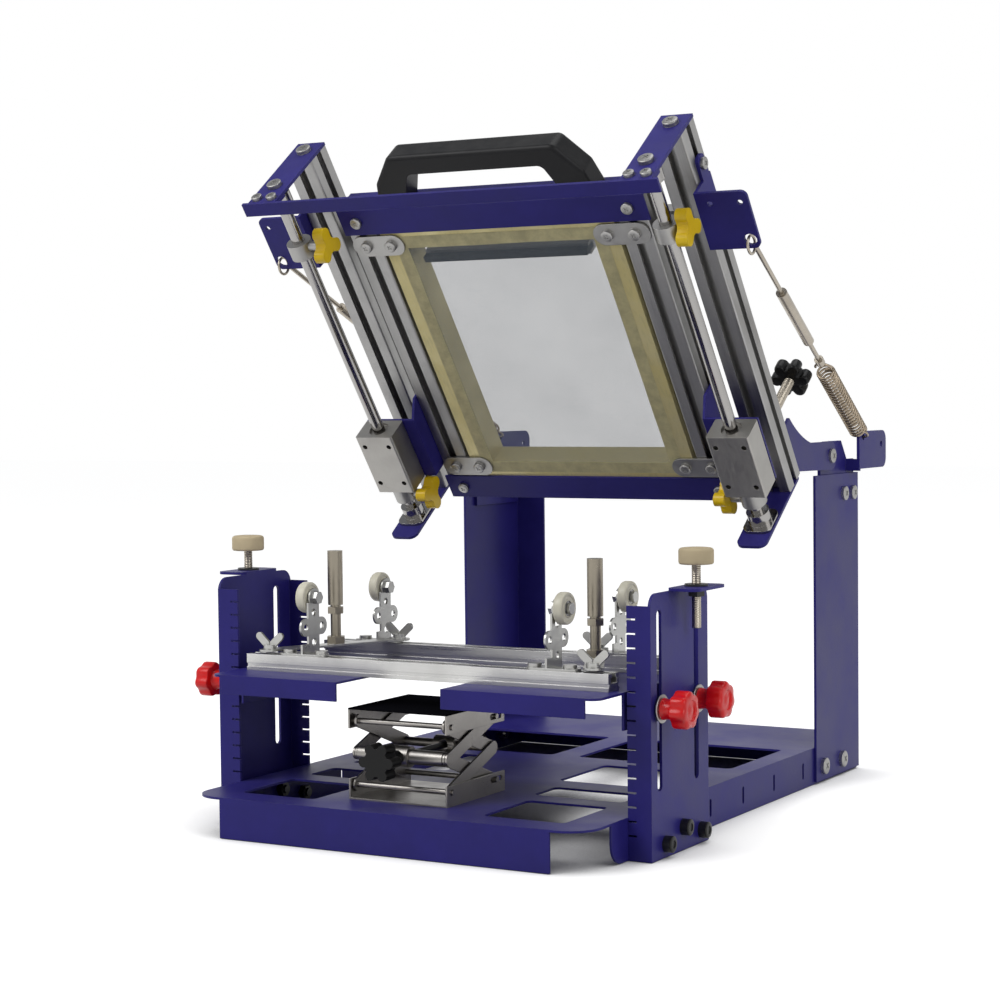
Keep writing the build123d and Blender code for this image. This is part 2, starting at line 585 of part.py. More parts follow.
# ---- squeegee ----
SQUEEGEE_U = 328.0
HOLDER_X = 86.0
HOLDER_W = (92.0, 112.0)
BLADE_W = (104.0, 118.7)
STUD_X = 60.0
BEAM_W = (64.0, W_TOP)
with BuildPart() as squeegee_beam:
    with BuildSketch(head_level(BEAM_W[0])):
        with Locations((0, SQUEEGEE_U)):
            Rectangle(2 * OUTER_X[1], 24)
        with Locations((-STUD_X, SQUEEGEE_U), (STUD_X, SQUEEGEE_U)):
            Circle(3 + RUNNING, mode=Mode.SUBTRACT)
    extrude(amount=BEAM_W[1] - BEAM_W[0])
    with BuildSketch(head_level(BEAM_W[0])):
        with Locations((-STUD_X, SQUEEGEE_U), (STUD_X, SQUEEGEE_U)):
            RegularPolygon(8, 6)
            Circle(3 + RUNNING, mode=Mode.SUBTRACT)
    extrude(amount=-7)
    for side, _ in SIDES:
        disc(head_level(BEAM_W[0]), (side * LINE_X, SQUEEGEE_U), 6, -3.5)
save(squeegee_beam, "squeegee_beam")

with BuildPart() as squeegee_holder:
    slab(head_level(HOLDER_W[0]), (-HOLDER_X, HOLDER_X), (SQUEEGEE_U - 6, SQUEEGEE_U + 6),
         HOLDER_W[1] - HOLDER_W[0])
    slab(head_level(BLADE_W[0]), (-HOLDER_X, HOLDER_X), (SQUEEGEE_U - 3, SQUEEGEE_U + 3),
         HOLDER_W[1] - BLADE_W[0], mode=Mode.SUBTRACT)
    for x in (-STUD_X, STUD_X):
        disc(head_level(HOLDER_W[0]), (x, SQUEEGEE_U), 3, -48)
save(squeegee_holder, "squeegee_holder")

with BuildPart() as squeegee_blade:
    slab(head_level(BLADE_W[0]), (-HOLDER_X, HOLDER_X), (SQUEEGEE_U - 3, SQUEEGEE_U + 3),
         BLADE_W[1] - BLADE_W[0])
save(squeegee_blade, "squeegee_blade")

# ---- sliding carriage with the screen ----
INNER_X = (127.0, 157.0)
INNER_U = (43.0, 385.0)
FRAME_W = (94.0, 119.0)     # the lower face is flush with the inner profiles
FRAME_X = 123.0
FRAME_U = (60.0, 368.0)
FRAME_RAIL = 25.0
CROSS_X = 160.0
CROSS_LAP = 8.0
MESH = 0.4
with BuildPart() as inner_profiles:
    for side, _ in SIDES:
        add_profile(side * sum(INNER_X) / 2, FRAME_W[1] - PROFILE / 2, *INNER_U)
save(inner_profiles, "inner_profiles")

with BuildPart() as crossbars:
    for end, lap in ((INNER_U[0] - SHEET, FRAME_U[0] + CROSS_LAP),
                     (INNER_U[1] + SHEET, FRAME_U[1] - CROSS_LAP)):
        slab(head_level(FRAME_W[1]), (-CROSS_X, CROSS_X), (min(end, lap), max(end, lap)), SHEET)
        wall = end if lap > end else end - SHEET
        slab(head_level(FRAME_W[1] - PROFILE), (-CROSS_X, CROSS_X), (wall, wall + SHEET), PROFILE)
save(crossbars, "crossbars")

with BuildPart() as screen_frame:
    with BuildSketch(head_level(FRAME_W[0])):
        with Locations((0, sum(FRAME_U) / 2)):
            RectangleRounded(2 * FRAME_X, FRAME_U[1] - FRAME_U[0], 2)
            Rectangle(2 * (FRAME_X - FRAME_RAIL), FRAME_U[1] - FRAME_U[0] - 2 * FRAME_RAIL,
                      mode=Mode.SUBTRACT)
    extrude(amount=FRAME_W[1] - FRAME_W[0])
save(screen_frame, "screen_frame")

with BuildPart() as screen_mesh:
    slab(head_level(FRAME_W[1]), (-FRAME_X + 12, FRAME_X - 12), (FRAME_U[0] + 13, FRAME_U[1] - 13), MESH)
save(screen_mesh, "screen_mesh")

CLAMP_W = FRAME_W[1] + MESH
with BuildPart() as frame_clamps:
    for side, _ in SIDES:
        for u in (FRAME_U[0] + CROSS_LAP + 13, FRAME_U[1] - CROSS_LAP - 13):
            with BuildSketch(head_level(CLAMP_W)):
                with Locations((side * 128, u)):
                    SlotOverall(56, 22)
            extrude(amount=SHEET)
            for x in (114, 141):
                disc(head_level(CLAMP_W + SHEET), (side * x, u), 5.5, 3)
        for u in (FRAME_U[0] - 6, FRAME_U[1] + 6):
            disc(head_level(FRAME_W[1] + SHEET), (side * 142, u), 5.5, 3)
save(frame_clamps, "frame_clamps")

HANDLE_U = INNER_U[1] + SHEET
HANDLE_FOOT = 114.0         # half width over the feet
HANDLE_BAR = 86.0           # half width of the bar
HANDLE_RISE = 52.0
HANDLE_KNEE = 24.0
with BuildPart() as handle:
    with BuildSketch(head_level(92)) as grip:
        with BuildLine():
            Polyline((-HANDLE_FOOT, HANDLE_U), (6 - HANDLE_FOOT, HANDLE_U + HANDLE_KNEE),
                     (-HANDLE_BAR, HANDLE_U + HANDLE_RISE), (HANDLE_BAR, HANDLE_U + HANDLE_RISE),
                     (HANDLE_FOOT - 6, HANDLE_U + HANDLE_KNEE), (HANDLE_FOOT, HANDLE_U),
                     (HANDLE_FOOT - 30, HANDLE_U), (HANDLE_BAR - 16, HANDLE_U + HANDLE_RISE - 19),
                     (16 - HANDLE_BAR, HANDLE_U + HANDLE_RISE - 19), (30 - HANDLE_FOOT, HANDLE_U),
                     (-HANDLE_FOOT, HANDLE_U))
        make_face()
        fillet(grip.vertices().filter_by(lambda v: abs(v.X) > 60 and v.Y > HANDLE_U + 1), 8)
    extrude(amount=26)
    fillet(handle.edges().filter_by(Axis.X).filter_by(lambda edge: edge.length > 150), 4)
save(handle, "handle")

BLOCK_U = (82.0, 152.0)
BLOCK_W = (137.0, 165.0)
BLOCK_HALF = 21.0
with BuildPart() as bearing_blocks:
    for side, _ in SIDES:
        with BuildSketch(head_section(BLOCK_U[0])):
            with Locations((side * LINE_X, -SHAFT_W)):
                RectangleRounded(2 * BLOCK_HALF, BLOCK_W[1] - BLOCK_W[0], 2)
                Circle(SHAFT_R + RUNNING, mode=Mode.SUBTRACT)
        extrude(amount=BLOCK_U[1] - BLOCK_U[0])
        for u, depth in ((BLOCK_U[0], 3), (BLOCK_U[1], -3)):
            disc(head_section(u), (side * LINE_X, -SHAFT_W), 10, depth, mode=Mode.SUBTRACT)
        for x in (-14, 14):
            for u in (BLOCK_U[0] + 12, BLOCK_U[1] - 12):
                disc(head_level(BLOCK_W[1]), (side * LINE_X + x, u), 2.6, -9, mode=Mode.SUBTRACT)
save(bearing_blocks, "bearing_blocks")

with BuildPart() as carriage_brackets:
    for side, _ in SIDES:
        slab(head_level(BLOCK_W[0] - STEEL), (side * INNER_X[1], side * (LINE_X + BLOCK_HALF)),
             BLOCK_U, STEEL)
        with BuildSketch(head_side(side * (INNER_X[1] + STEEL / 2))):
            with BuildLine():
                Polyline((BLOCK_U[0], BLOCK_W[0]), (BLOCK_U[1], BLOCK_W[0]), (BLOCK_U[1] + 16, 122),
                         (BLOCK_U[1] + 16, 100), (BLOCK_U[0], 100), (BLOCK_U[0], BLOCK_W[0]))
            make_face()
        extrude(amount=STEEL / 2, both=True)
save(carriage_brackets, "carriage_brackets")

# ---- stop collars and their yellow knobs ----
COLLAR_R = 12.0
COLLAR_LENGTH = 16.0
COLLARS = (("front_left", -1, 360.0, 10.0, 1, 22.0), ("front_right", 1, 360.0, 10.0, 1, 12.2),
           ("rear_left", -1, 65.0, 5.0, 1, 22.0), ("rear_right", 1, 65.0, 5.0, -1, 22.0))
for name, side, u, offset, way, reach in COLLARS:
    knob_u = u + offset
    spindle = Plane(origin=HEAD.from_local_coords((side * LINE_X, knob_u, SHAFT_W)), x_dir=U_DIR,
                    z_dir=(way, 0, 0))
    with BuildPart() as stop_collar:
        disc(head_section(u), (side * LINE_X, -SHAFT_W), COLLAR_R, COLLAR_LENGTH)
        disc(spindle, (0, 0), 4.5, reach)
        disc(head_section(u), (side * LINE_X, -SHAFT_W), SHAFT_R + RUNNING, COLLAR_LENGTH,
             mode=Mode.SUBTRACT)
        disc(spindle.offset(8), (0, 0), 3 + RUNNING, reach, mode=Mode.SUBTRACT)
    save(stop_collar, f"stop_collar_{name}")
    with BuildPart() as yellow_knob:
        disc(spindle.offset(8.5), (0, 0), 3, reach + 1 - 8.5)
        with BuildSketch(spindle.offset(reach + 0.3)) as wing_head:
            Circle(8)
            with PolarLocations(11.5, 3, start_angle=0 if offset > 8 else 180):
                Circle(6.5)
            with PolarLocations(6, 3, start_angle=0 if offset > 8 else 180):
                Rectangle(11, 12)
        extrude(amount=11)
    save(yellow_knob, f"yellow_knob_{name}")

# ---- extension springs and turnbuckles ----
COIL_R = 8.1
WIRE_R = 1.2
TURNS = 23
PITCH = 5.8
HOOK_R = 7.5
EYE_R = 8.0                 # eye of the turnbuckle, hung through the side bracket's hole
EYE_SHORT, EYE_DROP = 3.1, 4.1
HOOK_X = sum(WING_X) / 2
SHACKLE = HEAD.from_local_coords((SHACKLE_X, SHACKLE_U, BRACKET_W - PLATE / 2))
HOOK = Vector(HOOK_X, at(HOOK_D), HOOK_Z)
PULL = SHACKLE - HOOK
PULL_YZ = hypot(PULL.Y, PULL.Z)
COIL_START = 2 * HOOK_R
COIL_END = COIL_START + TURNS * PITCH
for side, name in SIDES:
    along = Vector(side * PULL.X, PULL.Y, PULL.Z).normalized()
    across = Vector(0, along.Z, -along.Y).normalized()
    anchor = Vector(side * HOOK_X, at(HOOK_D), HOOK_Z)
    coil_plane = Plane(origin=anchor - across * COIL_R, x_dir=across, z_dir=along)
    lean = sqrt(COIL_R ** 2 + (PITCH / 4) ** 2)
    half = HOOK_R * sin(radians(45))
    with BuildPart() as spring:
        with BuildLine(coil_plane) as wire:
            ThreePointArc((COIL_R, HOOK_R, HOOK_R), (COIL_R, 0, 0), (COIL_R, -HOOK_R, HOOK_R))
            ThreePointArc((COIL_R, -HOOK_R, HOOK_R), (COIL_R, -half, HOOK_R + half),
                          (COIL_R, 0, COIL_START))
            for turn in range(2 * TURNS):
                start = COIL_START + turn * PITCH / 2
                way = 1 if turn % 2 == 0 else -1
                ThreePointArc((way * COIL_R, 0, start), (0, way * lean, start + PITCH / 4),
                              (-way * COIL_R, 0, start + PITCH / 2))
            ThreePointArc((COIL_R, 0, COIL_END), (COIL_R, half, COIL_END + HOOK_R - half),
                          (COIL_R, HOOK_R, COIL_END + HOOK_R))
            ThreePointArc((COIL_R, HOOK_R, COIL_END + HOOK_R), (COIL_R, 0, COIL_END + 2 * HOOK_R),
                          (COIL_R, -HOOK_R, COIL_END + HOOK_R))
        path = wire.wires()[0]
        with BuildSketch(Plane(origin=path @ 0, z_dir=path % 0)):
            Circle(WIRE_R)
        sweep(path=path)
    save(spring, f"spring_{name}")

    reach = PULL.length
    line = Plane(origin=anchor, x_dir=across, z_dir=along)
    first = COIL_END + COIL_START + WIRE_R + 0.3
    near = reach - EYE_SHORT - sqrt(EYE_R ** 2 - EYE_DROP ** 2)
    with BuildPart() as turnbuckle:
        for start, end, radius in ((first, first + 8, 4.5), (first + 8, near, 2.2),
                                   (first + 45, first + 140, 5.2)):
            disc(line.offset(start), (0, 0), radius, end - start)
        ring_plane = Plane(origin=anchor + along * (reach - EYE_SHORT) - across * EYE_DROP,
                           x_dir=along, z_dir=(side, 0, 0))
        with BuildSketch(Plane(origin=ring_plane.from_local_coords((-EYE_R, 0, 0)), x_dir=along,
                               z_dir=ring_plane.y_dir)) as wire_section:
            Circle(1.3)
        revolve(wire_section.sketch, axis=Axis(ring_plane.origin, ring_plane.z_dir))
    save(turnbuckle, f"turnbuckle_{name}")

# ---- scissor jack ----
JACK_X = -8.0
JACK_HALF = 50.0
JACK_D = (45.0, 144.0)
JACK_SHEET = 1.5
ARM_LENGTH = 80.0
ARM_R = 6.0
ARM_T = 2.0
JACK_PIVOT_D = 54.0
JACK_PIVOT_Z = 48.0
STAGE = 28.0                # height of one scissor stage
ROD_R = 2.5
JOINT_R = 4.0
REAR_D = JACK_PIVOT_D + sqrt(ARM_LENGTH ** 2 - STAGE ** 2)
MID_Z = JACK_PIVOT_Z + STAGE
TOP_Z = JACK_PIVOT_Z + 2 * STAGE
FLANGE_X = JACK_HALF - JACK_SHEET
OUTER_LAYER = FLANGE_X - 0.5 - ARM_T
INNER_LAYER = OUTER_LAYER - 0.5 - ARM_T
JACK_TOP = TOP_Z + 12.0
MIDDLE_D = (JACK_PIVOT_D + REAR_D) / 2


def jack_side(x):
    """Upright plane across the jack at x from its middle; sketch axes are Y and Z."""
    return Plane.YZ.offset(JACK_X + x)


def jack_tray(sheet_z, flange_z, pivot_z):
    """Flat plate with two side flanges, a fixed pivot in front and a slot behind."""
    slab(Plane.XY.offset(sheet_z), (JACK_X - JACK_HALF, JACK_X + JACK_HALF),
         (at(JACK_D[0]), at(JACK_D[1])), JACK_SHEET)
    for x in (-FLANGE_X - JACK_SHEET / 2, FLANGE_X + JACK_SHEET / 2):
        with BuildSketch(jack_side(x)) as cheek:
            with Locations((at(sum(JACK_D) / 2), sum(flange_z) / 2)):
                Rectangle(JACK_D[1] - JACK_D[0], flange_z[1] - flange_z[0])
            with Locations((at(JACK_PIVOT_D), pivot_z)):
                Circle(ROD_R + RUNNING, mode=Mode.SUBTRACT)
            with Locations((at(REAR_D), pivot_z)):
                SlotOverall(20, 2 * ROD_R + 0.2, mode=Mode.SUBTRACT)
        extrude(cheek.sketch, amount=JACK_SHEET / 2, both=True)


def jack_arm(layer, start, end, start_r, end_r, pin_r):
    """Pair of flat links between two points of the side view, with holes of the given radii."""
    middle = ((start[0] + end[0]) / 2, (start[1] + end[1]) / 2)
    slant = degrees(atan2(end[1] - start[1], end[0] - start[0]))
    for x in (-layer - ARM_T / 2, layer + ARM_T / 2):
        with BuildSketch(jack_side(x)) as link:
            with Locations(Location((middle[0], middle[1], 0), (0, 0, slant))):
                SlotOverall(ARM_LENGTH + 2 * ARM_R, 2 * ARM_R)
            for centre, radius in ((start, start_r), (end, end_r), (middle, pin_r)):
                if radius:
                    with Locations(centre):
                        Circle(radius, mode=Mode.SUBTRACT)
        extrude(link.sketch, amount=ARM_T / 2, both=True)


def jack_rod(centre, radius, half):
    """Round rod across the jack."""
    disc(jack_side(-half), centre, radius, 2 * half)


BASE_PIN, BASE_SLIDE = (at(JACK_PIVOT_D), JACK_PIVOT_Z), (at(REAR_D), JACK_PIVOT_Z)
FRONT_PIN, REAR_PIN = (at(JACK_PIVOT_D), MID_Z), (at(REAR_D), MID_Z)
TOP_PIN, TOP_SLIDE = (at(JACK_PIVOT_D), TOP_Z), (at(REAR_D), TOP_Z)

with BuildPart() as jack_base:
    jack_tray(BASE_HEIGHT, (BASE_HEIGHT, JACK_PIVOT_Z + 6), JACK_PIVOT_Z)
save(jack_base, "jack_base")

with BuildPart() as jack_top:
    jack_tray(JACK_TOP - JACK_SHEET, (TOP_Z - 6, JACK_TOP), TOP_Z)
save(jack_top, "jack_top")

CROSS_PIN = 2.0
SCREW_R = 3.0
with BuildPart() as jack_arm_lower_outer:
    jack_arm(OUTER_LAYER, BASE_PIN, REAR_PIN, 0, 0, 0)
    jack_rod(BASE_PIN, ROD_R, JACK_HALF + 1.5)
    jack_rod(REAR_PIN, JOINT_R, OUTER_LAYER + ARM_T)
    disc(jack_side(-11), REAR_PIN, 8, 22)
    disc(Plane.XZ.offset(-REAR_PIN[0] - 10), (JACK_X, MID_Z), SCREW_R + 1.8, 20, mode=Mode.SUBTRACT)
    for x in (-INNER_LAYER, INNER_LAYER):
        disc(jack_side(x), (at(MIDDLE_D), JACK_PIVOT_Z + STAGE / 2), CROSS_PIN,
             (ARM_T + 1) * (1 if x > 0 else -1))
save(jack_arm_lower_outer, "jack_arm_lower_outer")

with BuildPart() as jack_arm_lower_inner:
    jack_arm(INNER_LAYER, BASE_SLIDE, FRONT_PIN, 0, JOINT_R + RUNNING, CROSS_PIN + RUNNING)
    jack_rod(BASE_SLIDE, ROD_R, JACK_HALF + 1.5)
save(jack_arm_lower_inner, "jack_arm_lower_inner")

with BuildPart() as jack_arm_upper_inner:
    jack_arm(INNER_LAYER, REAR_PIN, TOP_PIN, JOINT_R + RUNNING, 0, 0)
    jack_rod(TOP_PIN, ROD_R, JACK_HALF + 1.5)
    for x in (-INNER_LAYER - ARM_T, INNER_LAYER + ARM_T):
        disc(jack_side(x), (at(MIDDLE_D), TOP_Z - STAGE / 2), CROSS_PIN,
             (ARM_T + 0.5) * (1 if x > 0 else -1))
save(jack_arm_upper_inner, "jack_arm_upper_inner")

with BuildPart() as jack_arm_upper_outer:
    jack_arm(OUTER_LAYER, FRONT_PIN, TOP_SLIDE, JOINT_R + RUNNING, 0, CROSS_PIN + RUNNING)
    jack_rod(TOP_SLIDE, ROD_R, JACK_HALF + 1.5)
save(jack_arm_upper_outer, "jack_arm_upper_outer")

with BuildPart() as jack_front_tube:
    jack_rod(FRONT_PIN, JOINT_R, OUTER_LAYER + ARM_T)
    jack_rod(FRONT_PIN, 6.5, INNER_LAYER - 0.5)
    disc(jack_side(-9), FRONT_PIN, 9, 18)
    disc(Plane.XZ.offset(-FRONT_PIN[0] - 10), (JACK_X, MID_Z), SCREW_R + RUNNING, 20, mode=Mode.SUBTRACT)
save(jack_front_tube, "jack_front_tube")

with BuildPart() as jack_screw:
    front_face = Plane.XZ.offset(-at(JACK_PIVOT_D))
    disc(front_face.offset(-90), (JACK_X, MID_Z), SCREW_R, 90 + 34)
    disc(front_face.offset(9.5), (JACK_X, MID_Z), 6.5, 20)
    lobed(front_face.offset(28), (JACK_X, MID_Z), 12, 4.6, 12.5, 6, 15)
save(jack_screw, "jack_screw")

# ---- travel of the joints, for the motion record ----
LAND_D, LAND_Z = STOP_D + PAD_R, PAD_TOP + EASE
LEG = hypot(PIVOT_D - LAND_D, PIVOT_Z - LAND_Z)
CLOSED = degrees(atan2(BRACKET_W, sqrt(LEG ** 2 - BRACKET_W ** 2))
                 - atan2(PIVOT_Z - LAND_Z, PIVOT_D - LAND_D))
shut_c, shut_s = cos(radians(CLOSED)), sin(radians(CLOSED))
W_HOLE = BRACKET_W - PLATE / 2
SHUT_D = PIVOT_D - SHACKLE_U * shut_c - W_HOLE * shut_s
SHUT_Z = PIVOT_Z + SHACKLE_U * shut_s - W_HOLE * shut_c
OPEN_ANGLE = degrees(atan2(PULL.Z, -PULL.Y))
SHUT_ANGLE = degrees(atan2(SHUT_Z - HOOK_Z, HOOK_D - SHUT_D))
print("front edge Y", FRONT, "head up vector", U_DIR, "pivot Y", at(PIVOT_D))
print("head travel", RAISE - CLOSED, "spring swing", OPEN_ANGLE - SHUT_ANGLE,
      "spring stretch", hypot(SHUT_D - HOOK_D, SHUT_Z - HOOK_Z) - PULL_YZ)
print("spring hook", HOOK, "shackle", SHACKLE, "pull", PULL)
print("jack rear joint Y", at(REAR_D), "jack middle Y", at(MIDDLE_D))
print("least gap between spring turns", PITCH - 2 * WIRE_R)
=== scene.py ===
"""Looks of the tabletop screen printing press: finishes, detailed pieces, light and camera."""
import logging
import math
from dataclasses import dataclass
from enum import Enum
from typing import Callable, Sequence

import bmesh
import bpy
from mathutils import Matrix, Vector


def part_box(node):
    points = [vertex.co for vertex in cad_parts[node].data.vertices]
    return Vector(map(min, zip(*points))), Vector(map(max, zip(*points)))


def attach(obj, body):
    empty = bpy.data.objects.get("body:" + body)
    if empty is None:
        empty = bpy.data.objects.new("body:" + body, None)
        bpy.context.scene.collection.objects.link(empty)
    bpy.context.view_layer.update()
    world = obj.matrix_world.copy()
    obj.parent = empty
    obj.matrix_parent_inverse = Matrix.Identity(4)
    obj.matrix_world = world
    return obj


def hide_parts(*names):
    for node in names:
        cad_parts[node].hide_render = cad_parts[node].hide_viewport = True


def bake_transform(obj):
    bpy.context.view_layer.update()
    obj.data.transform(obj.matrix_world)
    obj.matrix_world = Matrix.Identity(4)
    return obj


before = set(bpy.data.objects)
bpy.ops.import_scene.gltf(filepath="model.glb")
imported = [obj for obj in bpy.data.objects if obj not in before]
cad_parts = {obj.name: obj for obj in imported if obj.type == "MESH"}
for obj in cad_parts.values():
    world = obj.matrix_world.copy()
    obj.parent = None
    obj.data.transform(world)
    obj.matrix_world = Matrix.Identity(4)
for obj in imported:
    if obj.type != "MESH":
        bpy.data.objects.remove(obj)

LOG = logging.getLogger("press")
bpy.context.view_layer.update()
MM = 0.001
FRONT = -324.0                      # world Y of the base's front edge, mm
TILT = (0.60042, 0.79968)           # cosine and sine of the raised head's angle
HINGE = (194.0, 323.0)              # Y and Z of the head's hinge, mm
Colour = tuple[float, float, float]
Pair = tuple[float, float]
Piece = bpy.types.Object
Socket = bpy.types.NodeSocket
Node = bpy.types.Node
Outputs = bpy.types.NodeOutputs
MeshWork = bmesh.types.BMesh


class Side(Enum):
    """Left and right of the press, seen from the front."""

    LEFT = -1
    RIGHT = 1

    @property
    def word(self) -> str:
        """Name of the side as the pieces use it."""
        return self.name.lower()


class Run(Enum):
    """Turn about X that lays a finish's lines along a piece, in radians."""

    WORLD = 0.0
    HEAD = math.atan2(TILT[1], -TILT[0])


def srgb(red: float, green: float, blue: float) -> Colour:
    """Turn a colour as seen on screen, 0 to 255, into linear light.

    Args:
        red: Red share.
        green: Green share.
        blue: Blue share.

    Returns:
        The linear colour.
    """
    def one(value: float) -> float:
        """Linear value of one share."""
        share = value / 255
        return share / 12.92 if share <= 0.04045 else ((share + 0.055) / 1.055) ** 2.4
    return one(red), one(green), one(blue)


def head_point(x: float, u: float, w: float) -> Vector:
    """Place a point of the raised head.

    Args:
        x: Across the press, mm.
        u: Up the head from the hinge, mm.
        w: Towards the goods, mm.

    Returns:
        The point in metres, in the press's frame.
    """
    c, s = TILT
    return Vector((x, HINGE[0] - u * c - w * s, HINGE[1] + u * s - w * c)) * MM


def head_way(u: float, w: float) -> Vector:
    """Direction up the head (u) or towards the goods (w)."""
    return (head_point(0, u, w) - head_point(0, 0, 0)).normalized()


# ---- mesh code ----

def mesh_object(name: str, build: Callable[[MeshWork], None],
                smooth: float = 40.0) -> Piece:
    """Make an object from mesh code.

    Args:
        name: Name of the piece.
        build: Fills the empty mesh.
        smooth: Faces that meet at less than this angle shade as one, degrees.

    Returns:
        The new object, linked to the scene.
    """
    mesh = bpy.data.meshes.new(name)
    work = bmesh.new()
    build(work)
    bmesh.ops.recalc_face_normals(work, faces=work.faces)
    limit = math.radians(smooth)
    for face in work.faces:
        face.smooth = True
    for edge in work.edges:
        if len(edge.link_faces) == 2 and edge.calc_face_angle(0.0) > limit:
            edge.smooth = False
    work.to_mesh(mesh)
    work.free()
    piece = bpy.data.objects.new(name, mesh)
    bpy.context.scene.collection.objects.link(piece)
    return piece


@dataclass
class Axle:
    """A local frame with its own Z, for turned pieces."""

    origin: Vector
    axis: Vector
    zero: Vector

    def at(self, radius: float, angle: float, height: float) -> Vector:
        """Point at a radius, an angle and a height.

        Args:
            radius: Distance from the axis, metres.
            angle: Angle round the axis, radians.
            height: Height along the axis, metres.

        Returns:
            The point, metres.
        """
        side = self.axis.cross(self.zero)
        return (self.origin + self.axis * height
                + (self.zero * math.cos(angle) + side * math.sin(angle)) * radius)


def cross_axle(side: Side, depth: float, height: float) -> Axle:
    """Axle that runs outward across the press, at a depth from its front and a height, mm."""
    return Axle(Vector((0, FRONT + depth, height)) * MM, Vector((side.value, 0, 0)), Vector((0, 0, 1)))


def bridge_rings(work: MeshWork, rings: Sequence[Sequence[bmesh.types.BMVert]],
                 slots: Sequence[int] | None = None) -> None:
    """Join rings of points in order with quads.

    Args:
        work: Mesh to add to.
        rings: Closed rings with the same count of points.
        slots: Material slot of each band.
    """
    for index, (low, high) in enumerate(zip(rings, rings[1:])):
        count = len(low)
        for k in range(count):
            face = work.faces.new((low[k], low[(k + 1) % count], high[(k + 1) % count], high[k]))
            face.material_index = slots[index] if slots else 0


def lathe(work: MeshWork, axle: Axle, profile: Sequence[Pair],
          segments: int = 48, slots: Sequence[int] | None = None) -> None:
    """Turn a profile about an axis, with flat ends.

    Args:
        work: Mesh to add to.
        axle: Axis of the piece.
        profile: Radius and height of each ring, mm.
        segments: Faces round the axis.
        slots: Material slot of each band.
    """
    rings = [[work.verts.new(axle.at(r * MM, math.tau * k / segments, h * MM)) for k in range(segments)]
             for r, h in profile]
    bridge_rings(work, rings, slots)
    work.faces.new(list(reversed(rings[0]))).material_index = slots[0] if slots else 0
    work.faces.new(rings[-1]).material_index = slots[-1] if slots else 0


def lobed_head(work: MeshWork, axle: Axle, outline: Callable[[float], float],
               rings: Sequence[tuple[float, float, float, float]], segments: int = 140) -> None:
    """Build a grip whose outline softens into a round middle.

    Args:
        work: Mesh to add to.
        axle: Axis of the grip.
        outline: Radius of the grip at an angle, mm.
        rings: Inset, height, share of the outline, and plain radius of each ring, mm.
        segments: Faces round the axis.
    """
    made = []
    for inset, height, share, plain in rings:
        ring = []
        for k in range(segments):
            angle = math.tau * k / segments
            radius = share * (outline(angle) - inset) + (1 - share) * plain
            ring.append(work.verts.new(axle.at(radius * MM, angle, height * MM)))
        made.append(ring)
    bridge_rings(work, made)
    work.faces.new(list(reversed(made[0])))
    work.faces.new(made[-1])


def union_outline(core: float, lobe: float, reach: float, count: int, turn: float = 0.0,
                  soft: float = 0.9) -> Callable[[float], float]:
    """Outline of a round core with round lobes, with softened valleys.

    Args:
        core: Radius of the core, mm.
        lobe: Radius of a lobe, mm.
        reach: Distance from the middle to a lobe's centre, mm.
        count: How many lobes.
        turn: Angle of the first lobe, radians.
        soft: Length over which the valleys are rounded, mm.

    Returns:
        The radius for an angle.
    """
    def radius(angle: float) -> float:
        """Radius at one angle.

        Args:
            angle: Angle round the axis, radians.

        Returns:
            The radius, mm.
        """
        step = math.tau / count
        near = (angle - turn + step / 2) % step - step / 2
        across = reach * math.sin(near)
        inside = lobe * lobe - across * across
        lobed = reach * math.cos(near) + math.sqrt(inside) if inside > 0 else 0.0
        high, low = max(core, lobed), min(core, lobed)
        return high + soft * math.log1p(math.exp(-(high - low) / soft)) - soft * 0.02
    return radius


def tube(work: MeshWork, points: Sequence[Vector], radius: float, sides: int = 10) -> None:
    """Lay a round wire along points.

    Args:
        work: Mesh to add to.
        points: Middle line of the wire, metres.
        radius: Radius of the wire, mm.
        sides: Faces round the wire.
    """
    tangent = (points[1] - points[0]).normalized()
    across = tangent.orthogonal().normalized()
    rings = []
    for k, point in enumerate(points):
        ahead = points[min(k + 1, len(points) - 1)] - points[max(k - 1, 0)]
        along = ahead.normalized()
        across = (across - along * across.dot(along)).normalized()
        other = along.cross(across)
        rings.append([work.verts.new(point + (across * math.cos(a) + other * math.sin(a)) * radius * MM)
                      for a in (math.tau * n / sides for n in range(sides))])
    bridge_rings(work, rings)
    work.faces.new(list(reversed(rings[0])))
    work.faces.new(rings[-1])


# ---- shader node groups ----

